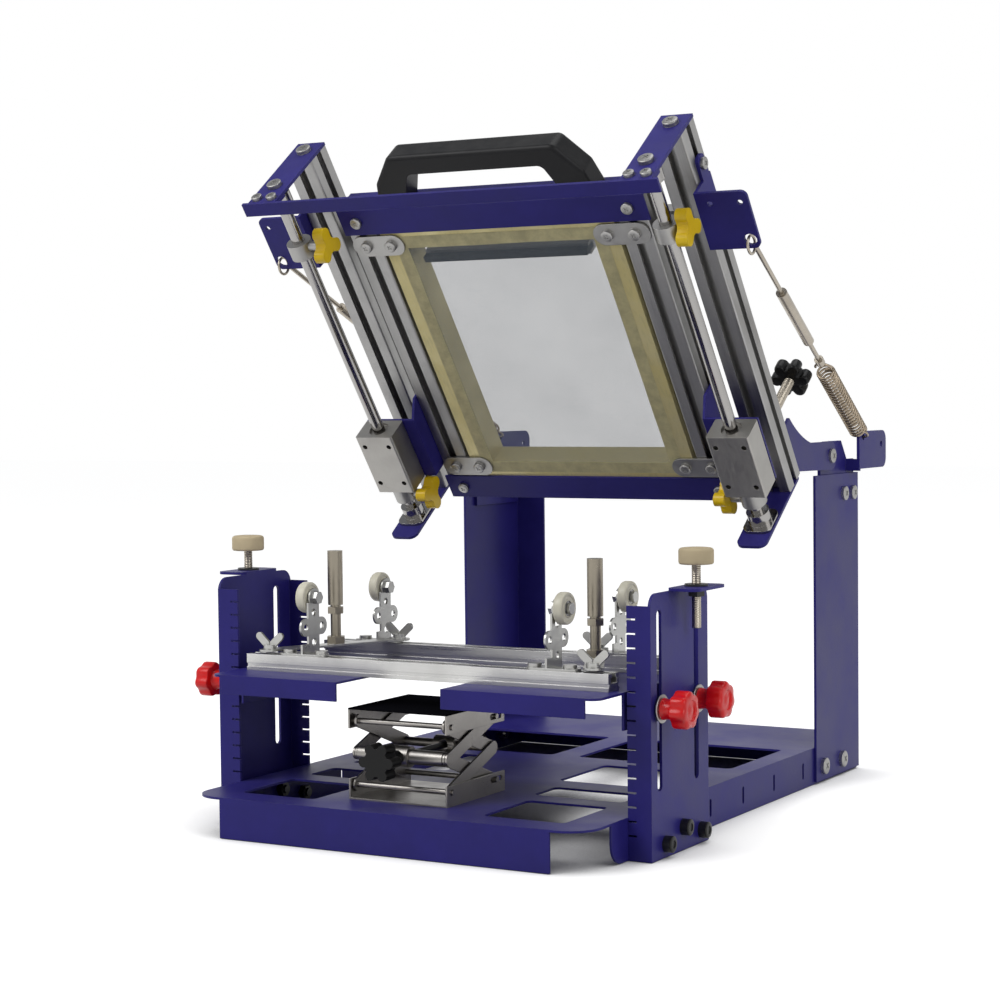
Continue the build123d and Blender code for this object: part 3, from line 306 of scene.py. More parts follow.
class Nodes:
    """Short hand for building one node tree."""

    def __init__(self, tree: bpy.types.NodeTree) -> None:
        """Start with the tree to fill."""
        self.tree = tree

    def add(self, kind: str, settings: dict[str, object] | None = None, **inputs: object) -> Node:
        """Add a node.

        Args:
            kind: Node type, without the ShaderNode prefix.
            settings: Properties of the node.
            inputs: Values or sockets for inputs, by name with _ for a space, or i0, i1 for an index.

        Returns:
            The node.
        """
        node = self.tree.nodes.new(kind if kind.startswith("Node") else f"ShaderNode{kind}")
        for key, value in (settings or {}).items():
            setattr(node, key, value)
        for key, value in inputs.items():
            socket = node.inputs[int(key[1:])] if key[0] == "i" and key[1:].isdigit() else node.inputs[
                key.replace("_", " ")]
            if isinstance(value, Socket):
                self.tree.links.new(value, socket)
            else:
                socket.default_value = value
        return node

    def math(self, operation: str, first: object, second: object = 0.0) -> Socket:
        """Result of a maths node on two values or sockets."""
        return self.add("Math", {"operation": operation}, i0=first, i1=second).outputs[0]

    def mix(self, share: object, first: object, second: object) -> Socket:
        """Colour mixed from two colours or sockets.

        Args:
            share: How much of the second, 0 to 1.
            first: First colour.
            second: Second colour.

        Returns:
            The mixed colour.
        """
        node = self.add("Mix", {"data_type": "RGBA"})
        for index, value in ((0, share), (6, first), (7, second)):
            if isinstance(value, Socket):
                self.tree.links.new(value, node.inputs[index])
            else:
                node.inputs[index].default_value = value if index == 0 else (*value[:3], 1.0)
        return node.outputs[2]

    def range(self, value: object, low: float, high: float, to_low: float = 0.0,
              to_high: float = 1.0) -> Socket:
        """Value moved from one range to another, and held inside it."""
        return self.add("MapRange", {"clamp": True}, Value=value, From_Min=low, From_Max=high,
                        To_Min=to_low, To_Max=to_high).outputs[0]

    def noise(self, where: Socket, scale: object, detail: float, roughness: object = 0.5) -> Socket:
        """Noise at a place."""
        return self.add("TexNoise", None, Vector=where, Scale=scale, Detail=detail,
                        Roughness=roughness).outputs[0]

    def here(self) -> Socket:
        """Place in the press's frame at rest, metres."""
        return self.add("TexCoord").outputs["Object"]

    def split(self, vector: Socket) -> Outputs:
        """X, Y and Z of a vector."""
        return self.add("SeparateXYZ", None, Vector=vector).outputs

    def seen(self) -> Socket:
        """1 for rays from the camera, mirrors and glass.

        Returns:
            The mask.
        """
        ray = self.add("LightPath").outputs
        return self.math("MAXIMUM", ray["Is Camera Ray"],
                         self.math("MAXIMUM", ray["Is Glossy Ray"], ray["Is Transmission Ray"]))

    def feed(self, node: Node, **sockets: Socket) -> None:
        """Link sockets to a node's inputs, by name with _ for a space."""
        for key, socket in sockets.items():
            self.tree.links.new(socket, node.inputs[key.replace("_", " ")])


class EffectGroup:
    """A named node group, built once and placed in each material that needs it."""

    title = "Effect"
    inputs: dict[str, float] = {}
    outputs: tuple[str, ...] = ()

    def tree(self) -> bpy.types.NodeTree:
        """Find the group, or build it.

        Returns:
            The group's node tree.
        """
        found = bpy.data.node_groups.get(self.title)
        if found:
            return found
        group = bpy.data.node_groups.new(self.title, "ShaderNodeTree")
        for name, value in self.inputs.items():
            socket = group.interface.new_socket(name=name, in_out="INPUT", socket_type="NodeSocketFloat")
            socket.default_value = value
        for name in self.outputs:
            kind = "NodeSocketVector" if name == "Normal" else "NodeSocketFloat"
            group.interface.new_socket(name=name, in_out="OUTPUT", socket_type=kind)
        nodes = Nodes(group)
        self.fill(nodes, nodes.add("NodeGroupInput").outputs, nodes.add("NodeGroupOutput"))
        return group

    def fill(self, nodes: Nodes, source: Outputs, result: Node) -> None:
        """Add the group's nodes."""
        raise NotImplementedError

    def place(self, nodes: Nodes, **inputs: object) -> Outputs:
        """Put the group in a material.

        Args:
            nodes: The material's nodes.
            inputs: Values or sockets, by name with _ for a space.

        Returns:
            What the group puts out.
        """
        return nodes.add("Group", {"node_tree": self.tree()}, **inputs).outputs


class SoftEdges(EffectGroup):
    """Rounded look of sharp edges, and a mask of where they rub bare."""

    title = "Soft edges"
    inputs = {"Radius": 0.0006, "Rub": 0.5}
    outputs = ("Normal", "Edge")

    def fill(self, nodes: Nodes, source: Outputs, result: Node) -> None:
        """Compare the rounded normal with the flat one.

        Args:
            nodes: The tree to fill.
            source: What the group takes in.
            result: The group's output node.
        """
        bevel = nodes.add("Bevel", {"samples": 4}, Radius=source["Radius"])
        flat = nodes.add("NewGeometry")
        turn = nodes.add("VectorMath", {"operation": "DOT_PRODUCT"}, i0=bevel.outputs[0],
                         i1=flat.outputs["Normal"]).outputs["Value"]
        chips = nodes.noise(nodes.here(), 130.0, 3.0)
        bare = nodes.math("MULTIPLY", nodes.range(turn, 0.99, 0.86), nodes.range(chips, 0.46, 0.62))
        nodes.feed(result, Normal=bevel.outputs[0], Edge=nodes.math("MULTIPLY", bare, source["Rub"]))


class FineGrain(EffectGroup):
    """Fine even grain, such as powder coat's orange peel or moulded texture."""

    title = "Fine grain"
    inputs = {"Scale": 700.0, "Roughness": 0.5}
    outputs = ("Height", "Cloud")

    def fill(self, nodes: Nodes, source: Outputs, result: Node) -> None:
        """Fine noise for height, and broad noise for slow change.

        Args:
            nodes: The tree to fill.
            source: What the group takes in.
            result: The group's output node.
        """
        place = nodes.here()
        nodes.feed(result, Cloud=nodes.noise(place, 14.0, 4.0, 0.6),
                   Height=nodes.noise(place, source["Scale"], 2.0, source["Roughness"]))


class DrawnLines(EffectGroup):
    """Long fine lines along one direction, from extrusion, brushing or grinding."""

    title = "Drawn lines"
    inputs = {"Turn": 0.0, "Across": 1400.0, "Along X": 1.0, "Along Y": 0.01}
    outputs = ("Lines", "Stain")

    def fill(self, nodes: Nodes, source: Outputs, result: Node) -> None:
        """Stretch noise along the chosen direction.

        Args:
            nodes: The tree to fill.
            source: What the group takes in.
            result: The group's output node.
        """
        place = nodes.here()
        turn = nodes.add("CombineXYZ", None, X=source["Turn"]).outputs[0]
        laid = nodes.add("VectorRotate", {"rotation_type": "EULER_XYZ", "invert": True}, Vector=place,
                         Rotation=turn).outputs[0]
        stretch = nodes.add("CombineXYZ", None, X=source["Along X"], Y=source["Along Y"],
                            Z=1.0).outputs[0]
        scaled = nodes.add("VectorMath", {"operation": "MULTIPLY"}, i0=laid, i1=stretch).outputs[0]
        nodes.feed(result, Lines=nodes.noise(scaled, source["Across"], 3.0, 0.65),
                   Stain=nodes.noise(place, 22.0, 5.0, 0.62))


class DustFilm(EffectGroup):
    """Faint dust that settles on faces that look up."""

    title = "Dust film"
    inputs = {"Amount": 0.2}
    outputs = ("Dust",)

    def fill(self, nodes: Nodes, source: Outputs, result: Node) -> None:
        """Dust mask from the face's direction and a cloudy noise.

        Args:
            nodes: The tree to fill.
            source: What the group takes in.
            result: The group's output node.
        """
        up = nodes.split(nodes.add("NewGeometry").outputs["Normal"])["Z"]
        cloud = nodes.noise(nodes.here(), 31.0, 6.0, 0.7)
        dust = nodes.math("MULTIPLY", nodes.range(up, 0.2, 1.0), nodes.range(cloud, 0.42, 0.7))
        nodes.feed(result, Dust=nodes.math("MULTIPLY", dust, source["Amount"]))


# ---- finishes ----

def shaded(colour: Colour, factor: float, lift: float = 0.0) -> Colour:
    """A colour made darker or paler, and held below white."""
    return tuple(min(1.0, factor * c + lift) for c in colour)


def tint(nodes: Nodes, shader: Node, mask: Socket, colour: Colour) -> None:
    """Change the colour of part of a shader.

    Args:
        nodes: The material's nodes.
        shader: The shader, already dressed.
        mask: Where the colour lies.
        colour: The colour.
    """
    below = shader.inputs["Base Color"].links[0].from_socket
    nodes.feed(shader, Base_Color=nodes.mix(mask, below, colour))


def cover(nodes: Nodes, shader: Node, mask: Socket, colour: Colour,
          roughness: float) -> None:
    """Lay a dark coat over part of a metal.

    Args:
        nodes: The material's nodes.
        shader: The shader, already dressed as metal.
        mask: Where the coat lies.
        colour: Colour of the coat.
        roughness: Roughness of the coat.
    """
    tint(nodes, shader, mask, colour)
    rough = nodes.math("MAXIMUM", shader.inputs["Roughness"].links[0].from_socket,
                       nodes.math("MULTIPLY", mask, roughness))
    nodes.feed(shader, Metallic=nodes.range(mask, 0.0, 1.0, 1.0, 0.0), Roughness=rough)


@dataclass(frozen=True)
class Finish:
    """Base of each finish: a named material built from procedural nodes."""

    title: str
    colour: Colour
    roughness: float = 0.4

    def material(self) -> bpy.types.Material:
        """Find the material, or build it.

        Returns:
            The material.
        """
        found = bpy.data.materials.get(self.title)
        if found:
            return found
        made = bpy.data.materials.new(self.title)
        made.use_nodes = True
        made.diffuse_color = (*self.colour, 1.0)
        made.node_tree.nodes.clear()
        nodes = Nodes(made.node_tree)
        shader = nodes.add("BsdfPrincipled", None, Roughness=self.roughness, Base_Color=(*self.colour, 1.0))
        nodes.feed(nodes.add("OutputMaterial"), Surface=shader.outputs[0])
        self.dress(nodes, shader)
        return made

    def dress(self, nodes: Nodes, shader: Node) -> None:
        """Add this finish's nodes to its shader."""
        raise NotImplementedError

    def surface(self, nodes: Nodes, shader: Node, height: Socket, depth: float,
                normal: Socket | None = None) -> None:
        """Feed a height to the shader's normal.

        Args:
            nodes: The material's nodes.
            shader: The shader.
            height: Height over the surface.
            depth: Depth of the relief, metres.
            normal: Normal to start from.
        """
        bump = nodes.add("Bump", None, Strength=1.0, Distance=depth, Height=height)
        if normal:
            nodes.feed(bump, Normal=normal)
        nodes.feed(shader, Normal=bump.outputs[0])

    def skin(self, nodes: Nodes, grain: Outputs, dark: float, pale: float) -> Socket:
        """Colour that drifts slowly between a darker and a paler tone."""
        return nodes.mix(nodes.range(grain["Cloud"], 0.35, 0.65), shaded(self.colour, dark),
                         shaded(self.colour, pale, 0.002))

    def drift(self, nodes: Nodes, cloud: Socket, less: float, more: float) -> Socket:
        """Roughness that drifts round its own value."""
        return nodes.range(cloud, 0.3, 0.7, self.roughness - less, self.roughness + more)


@dataclass(frozen=True)
class PowderCoat(Finish):
    """Satin powder coat on bent sheet steel, rubbed at its edges."""

    bare: Colour = (0.20, 0.20, 0.26)
    rub: float = 0.25
    dust: float = 0.03
    dusty: Colour = (0.45, 0.44, 0.42)
    gloss: float = 0.2
    peel: float = 0.00007

    def dress(self, nodes: Nodes, shader: Node) -> None:
        """Orange peel, slow change of shade, rubbed edges and dust.

        Args:
            nodes: The tree to fill.
            shader: The shader to dress.
        """
        grain = FineGrain().place(nodes, Scale=620.0, Roughness=0.45)
        edges = SoftEdges().place(nodes, Radius=0.0007, Rub=self.rub)
        dust = DustFilm().place(nodes, Amount=self.dust)
        worn = nodes.mix(edges["Edge"], self.skin(nodes, grain, 0.86, 1.1), self.bare)
        rough = self.drift(nodes, grain["Cloud"], 0.05, 0.07)
        shader.inputs["Specular IOR Level"].default_value = self.gloss
        nodes.feed(shader, Base_Color=nodes.mix(dust["Dust"], worn, self.dusty),
                   Roughness=nodes.math("ADD", rough, dust["Dust"]))
        self.surface(nodes, shader, grain["Height"], self.peel, edges["Normal"])


@dataclass(frozen=True)
class DrawnMetal(Finish):
    """Extruded, ground or brushed metal with fine lines along it."""

    stained: Colour = (0.4, 0.4, 0.4)
    run: Run = Run.WORLD
    along: Pair = (1.0, 0.01)
    across: float = 1400.0
    depth: float = 0.00003
    stain: float = 0.35

    def dress(self, nodes: Nodes, shader: Node) -> None:
        """Lines in the gloss and the relief, and faint stains.

        Args:
            nodes: The tree to fill.
            shader: The shader to dress.
        """
        lines = DrawnLines().place(nodes, Turn=self.run.value, Across=self.across, Along_X=self.along[0],
                                   Along_Y=self.along[1])
        edges = SoftEdges().place(nodes, Radius=0.0005, Rub=0.4)
        shader.inputs["Metallic"].default_value = 1.0
        stain = nodes.range(lines["Stain"], 0.42, 0.72, 0.0, self.stain)
        tone = nodes.mix(stain, self.colour, self.stained)
        streak = nodes.mix(nodes.range(lines["Lines"], 0.35, 0.65, 0.25, 0.0), tone, self.stained)
        bright = shaded(self.colour, 1.2)
        rough = self.drift(nodes, lines["Lines"], 0.05, 0.09)
        nodes.feed(shader, Base_Color=nodes.mix(edges["Edge"], streak, bright),
                   Roughness=nodes.math("ADD", rough, nodes.math("MULTIPLY", stain, 0.2)))
        self.surface(nodes, shader, lines["Lines"], self.depth, edges["Normal"])


@dataclass(frozen=True)
class PaintedTop(DrawnMetal):
    """Brushed steel with a black painted upper face."""

    paint: Colour = (0.006, 0.006, 0.008)
    level: float = 0.1146
    matt: float = 0.6

    def dress(self, nodes: Nodes, shader: Node) -> None:
        """Steel below, and black above the level.

        Args:
            nodes: The tree to fill.
            shader: The shader to dress.
        """
        super().dress(nodes, shader)
        painted = nodes.math("GREATER_THAN", nodes.split(nodes.here())["Z"], self.level)
        cover(nodes, shader, painted, self.paint, self.matt)
        shader.inputs["Specular IOR Level"].default_value = 0.0


@dataclass(frozen=True)
class PinAndPlate(DrawnMetal):
    """Zinc plates with a warmer nickel plated pin through them."""

    pin: Colour = (0.28, 0.25, 0.20)
    pin_at: Pair = (0.135, -0.182)
    pin_radius: float = 0.0098
    foot: float = 0.1592

    def dress(self, nodes: Nodes, shader: Node) -> None:
        """Zinc look, with the pin's colour round its axis.

        Args:
            nodes: The tree to fill.
            shader: The shader to dress.
        """
        super().dress(nodes, shader)
        place = nodes.split(nodes.here())
        x = nodes.math("SUBTRACT", nodes.math("ABSOLUTE", place["X"]), self.pin_at[0])
        y = nodes.math("SUBTRACT", place["Y"], self.pin_at[1])
        off = nodes.math("SQRT", nodes.math("ADD", nodes.math("MULTIPLY", x, x),
                                            nodes.math("MULTIPLY", y, y)))
        mask = nodes.math("MULTIPLY", nodes.math("LESS_THAN", off, self.pin_radius),
                          nodes.math("GREATER_THAN", place["Z"], self.foot))
        tint(nodes, shader, mask, self.pin)


@dataclass(frozen=True)
class SocketScrews(DrawnMetal):
    """Screws that are blackened at the front of the press and plated at its back."""

    blackened: Colour = (0.008, 0.008, 0.009)
    split: float = -0.10
    satin: float = 0.35

    def dress(self, nodes: Nodes, shader: Node) -> None:
        """Plated look, with the front screws blackened.

        Args:
            nodes: The tree to fill.
            shader: The shader to dress.
        """
        super().dress(nodes, shader)
        front = nodes.math("LESS_THAN", nodes.split(nodes.here())["Y"], self.split)
        cover(nodes, shader, front, self.blackened, self.satin)


@dataclass(frozen=True)
class Moulded(Finish):
    """Moulded plastic or rubber with a fine skin."""

    worn: Colour = (0.5, 0.5, 0.5)
    grain: float = 900.0
    depth: float = 0.00004
    rub: float = 0.15
    dusty: Colour = (0.5, 0.48, 0.45)
    gloss: float = 0.2

    def dress(self, nodes: Nodes, shader: Node) -> None:
        """Skin texture, slow change of shade and edge wear.

        Args:
            nodes: The tree to fill.
            shader: The shader to dress.
        """
        grain = FineGrain().place(nodes, Scale=self.grain, Roughness=0.55)
        edges = SoftEdges().place(nodes, Radius=0.0009, Rub=self.rub)
        dust = DustFilm().place(nodes, Amount=0.05)
        rubbed = nodes.mix(edges["Edge"], self.skin(nodes, grain, 0.84, 1.08), self.worn)
        nodes.feed(shader, Base_Color=nodes.mix(dust["Dust"], rubbed, self.dusty),
                   Roughness=self.drift(nodes, grain["Cloud"], 0.04, 0.08))
        shader.inputs["Specular IOR Level"].default_value = self.gloss
        self.surface(nodes, shader, grain["Height"], self.depth, edges["Normal"])


@dataclass(frozen=True)
class EmulsionFrame(Finish):
    """Aluminium screen frame with a yellowish film of dried emulsion and glue."""

    metal: Colour = (0.68, 0.68, 0.62)
    run_colour: Colour = (0.44, 0.41, 0.22)
    depth: float = 0.00012

    def dress(self, nodes: Nodes, shader: Node) -> None:
        """Uneven film over metal, thicker in blotches and runs.

        Args:
            nodes: The tree to fill.
            shader: The shader to dress.
        """
        grain = FineGrain().place(nodes, Scale=260.0, Roughness=0.6)
        lines = DrawnLines().place(nodes, Turn=Run.HEAD.value, Across=500.0, Along_X=0.6, Along_Y=0.12)
        edges = SoftEdges().place(nodes, Radius=0.0006, Rub=0.8)
        film = nodes.range(nodes.noise(nodes.here(), 17.0, 7.0, 0.66), 0.36, 0.60)
        thin = tuple(0.80 * c + 0.2 * m for c, m in zip(self.colour, self.metal))
        tone = nodes.mix(film, thin, self.colour)
        runs = nodes.mix(nodes.range(lines["Lines"], 0.5, 0.75, 0.0, 0.4), tone, self.run_colour)
        nodes.feed(shader, Base_Color=nodes.mix(edges["Edge"], runs, self.metal),
                   Metallic=nodes.range(film, 0.0, 1.0, 0.5, 0.15),
                   Roughness=self.drift(nodes, grain["Cloud"], 0.08, 0.1))
        self.surface(nodes, shader, grain["Height"], self.depth, edges["Normal"])


@dataclass(frozen=True)
class ClearWeave(Finish):
    """Fine see-through monofilament weave with a faint haze."""

    cell: float = 0.0007
    cover: float = 0.50
    size: Pair = (0.222, 0.282)
    glued: float = 0.0128
    ragged: float = 0.0006
    glue: Colour = (0.74, 0.67, 0.37)

    def dress(self, nodes: Nodes, shader: Node) -> None:
        """Threads across and along, open between, hazy toward the glued edge.

        Args:
            nodes: The tree to fill.
            shader: The shader to dress.
        """
        flat = nodes.add("UVMap").outputs[0]
        parts = nodes.split(flat)
        strands = []
        for axis in ("X", "Y"):
            wave = nodes.math("PINGPONG", nodes.math("DIVIDE", parts[axis], self.cell), 0.5)
            strands.append(nodes.range(wave, 0.12, 0.22, 1.0, 0.0))
        weave = nodes.math("MAXIMUM", strands[0], strands[1])
        haze = nodes.noise(flat, 9.0, 5.0, 0.6)
        cloudy = nodes.range(haze, 0.35, 0.7, 0.0, 0.07)
        open_share = nodes.range(weave, 0.0, 1.0, self.cover - 0.12, self.cover + 0.12)
        tone = nodes.mix(weave, shaded(self.colour, 0.9), self.colour)
        edge = nodes.math("MINIMUM", self.from_edge(nodes, parts["X"], self.size[0]),
                          self.from_edge(nodes, parts["Y"], self.size[1]))
        torn = nodes.math("ADD", edge, nodes.range(haze, 0.3, 0.7, -self.ragged, self.ragged))
        glued = nodes.range(torn, self.glued, self.glued + self.ragged, 1.0, 0.0)
        streaks = nodes.range(nodes.noise(flat, 60.0, 5.0, 0.65), 0.35, 0.65)
        film = nodes.mix(streaks, shaded(self.glue, 0.72), self.glue)
        covered = nodes.math("ADD", open_share, cloudy)
        nodes.feed(shader, Base_Color=nodes.mix(glued, tone, film),
                   Alpha=nodes.math("MAXIMUM", covered, nodes.math("MULTIPLY", glued, 0.93)))
        shader.inputs["Specular IOR Level"].default_value = 0.35
        self.surface(nodes, shader, weave, 0.00006)

    def from_edge(self, nodes: Nodes, along: Socket, length: float) -> Socket:
        """Distance to the nearer edge along one direction, metres."""
        return nodes.math("MINIMUM", along, nodes.math("SUBTRACT", length, along))


EVEN = (1.0, 1.0)                   # no run of lines
PLATING = 0.00002                   # relief of a plated surface, metres
JACK_STEEL = ((0.31, 0.295, 0.275), 0.30)


class Shade(Enum):
    """Every finish of the press."""

    COAT = PowderCoat("Indigo powder coat", srgb(44, 39, 122), 0.42)
    PROFILE = DrawnMetal("Extruded profile", (0.35, 0.345, 0.34), 0.38, stained=(0.20, 0.20, 0.195),
                         run=Run.HEAD, along=(1.0, 0.012), across=700.0)
    RAIL = DrawnMetal("Extruded rail", (0.56, 0.555, 0.545), 0.28, stained=(0.36, 0.36, 0.35),
                      along=(0.012, 1.0), across=800.0)
    BLOCK = DrawnMetal("Milled block", (0.36, 0.35, 0.33), 0.40, stained=(0.24, 0.23, 0.22), run=Run.HEAD,
                       along=(0.3, 0.05), across=1500.0)
    SHAFT = DrawnMetal("Ground shaft", (0.34, 0.33, 0.32), 0.12, stained=(0.24, 0.235, 0.23), run=Run.HEAD,
                       along=(0.05, 1.0), across=2200.0, depth=0.00001, stain=0.15)
    ZINC = DrawnMetal("Zinc plate", (0.34, 0.335, 0.325), 0.38, stained=(0.25, 0.245, 0.235), along=EVEN,
                      across=90.0, depth=0.000004, stain=0.3)
    SCREW = SocketScrews("Zinc and black screws", (0.52, 0.51, 0.49), 0.26, stained=(0.36, 0.35, 0.33),
                         along=EVEN, across=90.0, depth=PLATING)
    BOLT = DrawnMetal("Nickel bolt", (0.40, 0.36, 0.30), 0.24, stained=(0.25, 0.22, 0.18), along=EVEN,
                      across=160.0, depth=PLATING, stain=0.5)
    SPRING = DrawnMetal("Spring wire", (0.34, 0.28, 0.21), 0.24, stained=(0.19, 0.15, 0.105), along=EVEN,
                        across=260.0, depth=PLATING, stain=0.5)
    STAND = PinAndPlate("Zinc stand", (0.44, 0.44, 0.425), 0.30, stained=(0.32, 0.31, 0.29), along=EVEN,
                        across=120.0, depth=PLATING, stain=0.4)
    JACK = DrawnMetal("Brushed jack steel", *JACK_STEEL, stained=(0.22, 0.21, 0.20), along=(0.02, 1.0),
                      across=1100.0, stain=0.5)
    JACK_TABLE = PaintedTop("Jack table", *JACK_STEEL, stained=(0.22, 0.21, 0.20), along=(0.02, 1.0),
                            across=1100.0)
    RED = Moulded("Red knob plastic", srgb(240, 6, 10), 0.26, worn=srgb(226, 70, 70), grain=500.0, gloss=0.4)
    YELLOW = Moulded("Yellow knob plastic", (1.0, 0.64, 0.006), 0.30, worn=srgb(252, 226, 120), grain=500.0,
                     gloss=0.4)
    BLACK = Moulded("Black handle plastic", srgb(23, 23, 25), 0.40, worn=srgb(70, 70, 74), grain=1100.0,
                    depth=0.00009, rub=0.25)
    KNOB_BLACK = Moulded("Black knob plastic", srgb(13, 13, 14), 0.30, worn=srgb(50, 50, 53))
    PAD = Moulded("Beige pad", srgb(222, 204, 168), 0.6, worn=srgb(216, 204, 180), grain=420.0, depth=0.0001)
    WHEEL = Moulded("White wheel plastic", srgb(238, 233, 213), 0.35, worn=srgb(190, 186, 172), gloss=0.4)
    BLADE = Moulded("Dark blade rubber", srgb(40, 42, 48), 0.5, worn=srgb(70, 72, 76))
    FRAME = EmulsionFrame("Emulsion coated frame", srgb(216, 202, 140), 0.42)
    WEAVE = ClearWeave("Clear mesh weave", (0.175, 0.205, 0.235), 0.35)

    def material(self) -> bpy.types.Material:
        """The finish's material."""
        return self.value.material()


def dress_nodes(shade: Shade, *names: str) -> None:
    """Give CAD pieces a finish.

    Args:
        shade: The finish.
        names: CAD pieces that take it.
    """
    for name in names:
        mesh = bpy.data.objects[name].data
        mesh.materials.clear()
        mesh.materials.append(shade.material())
        LOG.info("%s takes %s", name, shade.value.title)


def corners(kind: str) -> list[str]:
    """Names of the four CAD pieces of a kind, at the front and rear of each side."""
    return [f"{kind}_{place}_{side.word}" for place in ("front", "rear") for side in Side]


def finish_piece(piece: Piece, body: str, slot: str, *shades: Shade, replaced: str = "") -> None:
    """Dress a new piece and hang it on its body.

    Args:
        piece: The new piece.
        body: CAD body that carries it, or nothing for a piece between two bodies, which is then hung on
            neither.
        slot: Name of the piece's material slot; not used.
        shades: Finishes in order of the mesh's slots.
        replaced: CAD piece that it stands for.
    """
    for shade in shades:
        piece.data.materials.append(shade.material())
    if body:
        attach(piece, body)
    if replaced:
        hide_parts(replaced)
    LOG.info("%s rides on %s", piece.name, body or "two bodies")


# ---- sub-assemblies ----

@dataclass
class Stand:
    """Base, columns, posts and shelf of bent sheet."""

    coated: tuple[str, ...] = ("base_plate", "front_columns", "rear_posts", "hinge_lugs", "shelf")
    plated: tuple[str, ...] = ("base_screws", "shelf_bushes")

    def build(self) -> None:
        """Dress the stand's pieces."""
        dress_nodes(Shade.COAT, *self.coated)
        dress_nodes(Shade.SCREW, *self.plated)
        dress_nodes(Shade.RAIL, "rails")


@dataclass
class RedKnob:
    """Clamping knob outside a front column."""

    place: str
    side: Side
    depth: float
    face: float = 222.0
    head: Pair = (235.0, 250.0)
    height: float = 126.0
    stud: Pair = (3.9, 190.0)
    core: float = 14.4
    lobe: float = 4.6
    reach: float = 11.4
    lobes: int = 7

    def build(self) -> None:
        """Washer, neck and fluted head with a dished cap on one stud."""
        axle = cross_axle(self.side, self.depth, self.height)
        outline = union_outline(self.core, self.lobe, self.reach, self.lobes)
        low, high = self.head

        def shape(work: MeshWork) -> None:
            """Add the turned and lobed parts.

            Args:
                work: Mesh to add to.
            """
            washer = [(radius, self.face + up) for radius, up in (
                (self.stud[0], 0.0), (11.4, 0.0), (12.0, 0.4), (12.0, 1.1), (11.6, 1.5), (9.4, 1.5))]
            lathe(work, axle, (self.stud, *washer), slots=[1] * len(washer))
            lathe(work, axle, ((8.6, self.face + 1.5), (9.3, self.face + 2.2), (8.4, self.face + 6),
                               (8.8, low - 1.6), (9.5, low)))
            rim = [(inset, height, 1.0, 0) for inset, height in (
                (1.4, low + 0.1), (0.4, low + 0.7), (0.0, low + 2.0), (0.0, high - 3.2),
                (0.4, high - 1.8), (1.5, high - 0.7))]
            cap = [(0, high - drop, 0.0, radius) for drop, radius in (
                (0.2, 9.0), (1.4, 8.2), (1.5, 5.0), (0.7, 3.0), (0.5, 1.0))]
            lobed_head(work, axle, outline, ((4, low, 0.0, 9.4), *rim, (3.2, high - 0.3, 0.8, 10.0), *cap))
        name = f"red_knob_{self.place}_{self.side.word}"
        finish_piece(mesh_object(f"fluted_{name}", shape), name, "red_plastic", Shade.RED, Shade.ZINC,
                     replaced=name)


@dataclass
class StarKnob:
    """Black star knob and its threaded stud behind the head."""

    side: Side
    x: float = 191.0
    u: float = 104.0
    head: Pair = (2.0, 17.0)
    stud: float = 5.0
    stud_end: float = 62.0
    half_pitch: float = 0.6
    core: float = 13.0
    lobe: float = 5.5
    reach: float = 14.5
    lobes: int = 6

    def build(self) -> None:
        """Star head, collar and stud."""
        axle = Axle(head_point(self.side.value * self.x, self.u, 0), head_way(0, 1), Vector((1, 0, 0)))
        outline = union_outline(self.core, self.lobe, self.reach, self.lobes, soft=1.2)
        low, high = self.head

        def shape(work: MeshWork) -> None:
            """Add the star, its neck and the stud.

            Args:
                work: Mesh to add to.
            """
            rim = [(inset, height, 1.0, 0) for inset, height in (
                (1.4, low + 0.7), (0.3, low + 1.9), (0.0, low + 3.6), (0.0, high - 3.4),
                (0.4, high - 1.8), (1.6, high - 0.5))]
            lobed_head(work, axle, outline, (
                (0, low + 0.4, 0.0, 4.0), (0, low + 0.2, 0.0, 9.0), (3.4, low + 0.1, 0.8, 10.0), *rim,
                (4.0, high - 0.1, 0.6, 9.0), (0, high, 0.0, 8.0), (0, high, 0.0, 4.5)))
            step = self.half_pitch
            threads = [(self.stud - (0.35 if k % 2 else 0.0), high + step * k)
                       for k in range(int(self.stud_end / step))]
            lathe(work, axle, ((self.stud, high - 0.5), *threads), 32, [1] * len(threads))
        name = f"star_knob_{self.side.word}"
        finish_piece(mesh_object(f"moulded_{name}", shape), name, "black_plastic", Shade.KNOB_BLACK,
                     Shade.BOLT, replaced=name)


@dataclass
class Knobs:
    """Every hand knob of the press."""

    slots: tuple[tuple[str, float], ...] = (("front", 92.0), ("rear", 164.0))

    def build(self) -> None:
        """Make each knob."""
        for side in Side:
            for place, depth in self.slots:
                RedKnob(place, side, depth).build()
            StarKnob(side).build()
        dress_nodes(Shade.YELLOW, *corners("yellow_knob"))


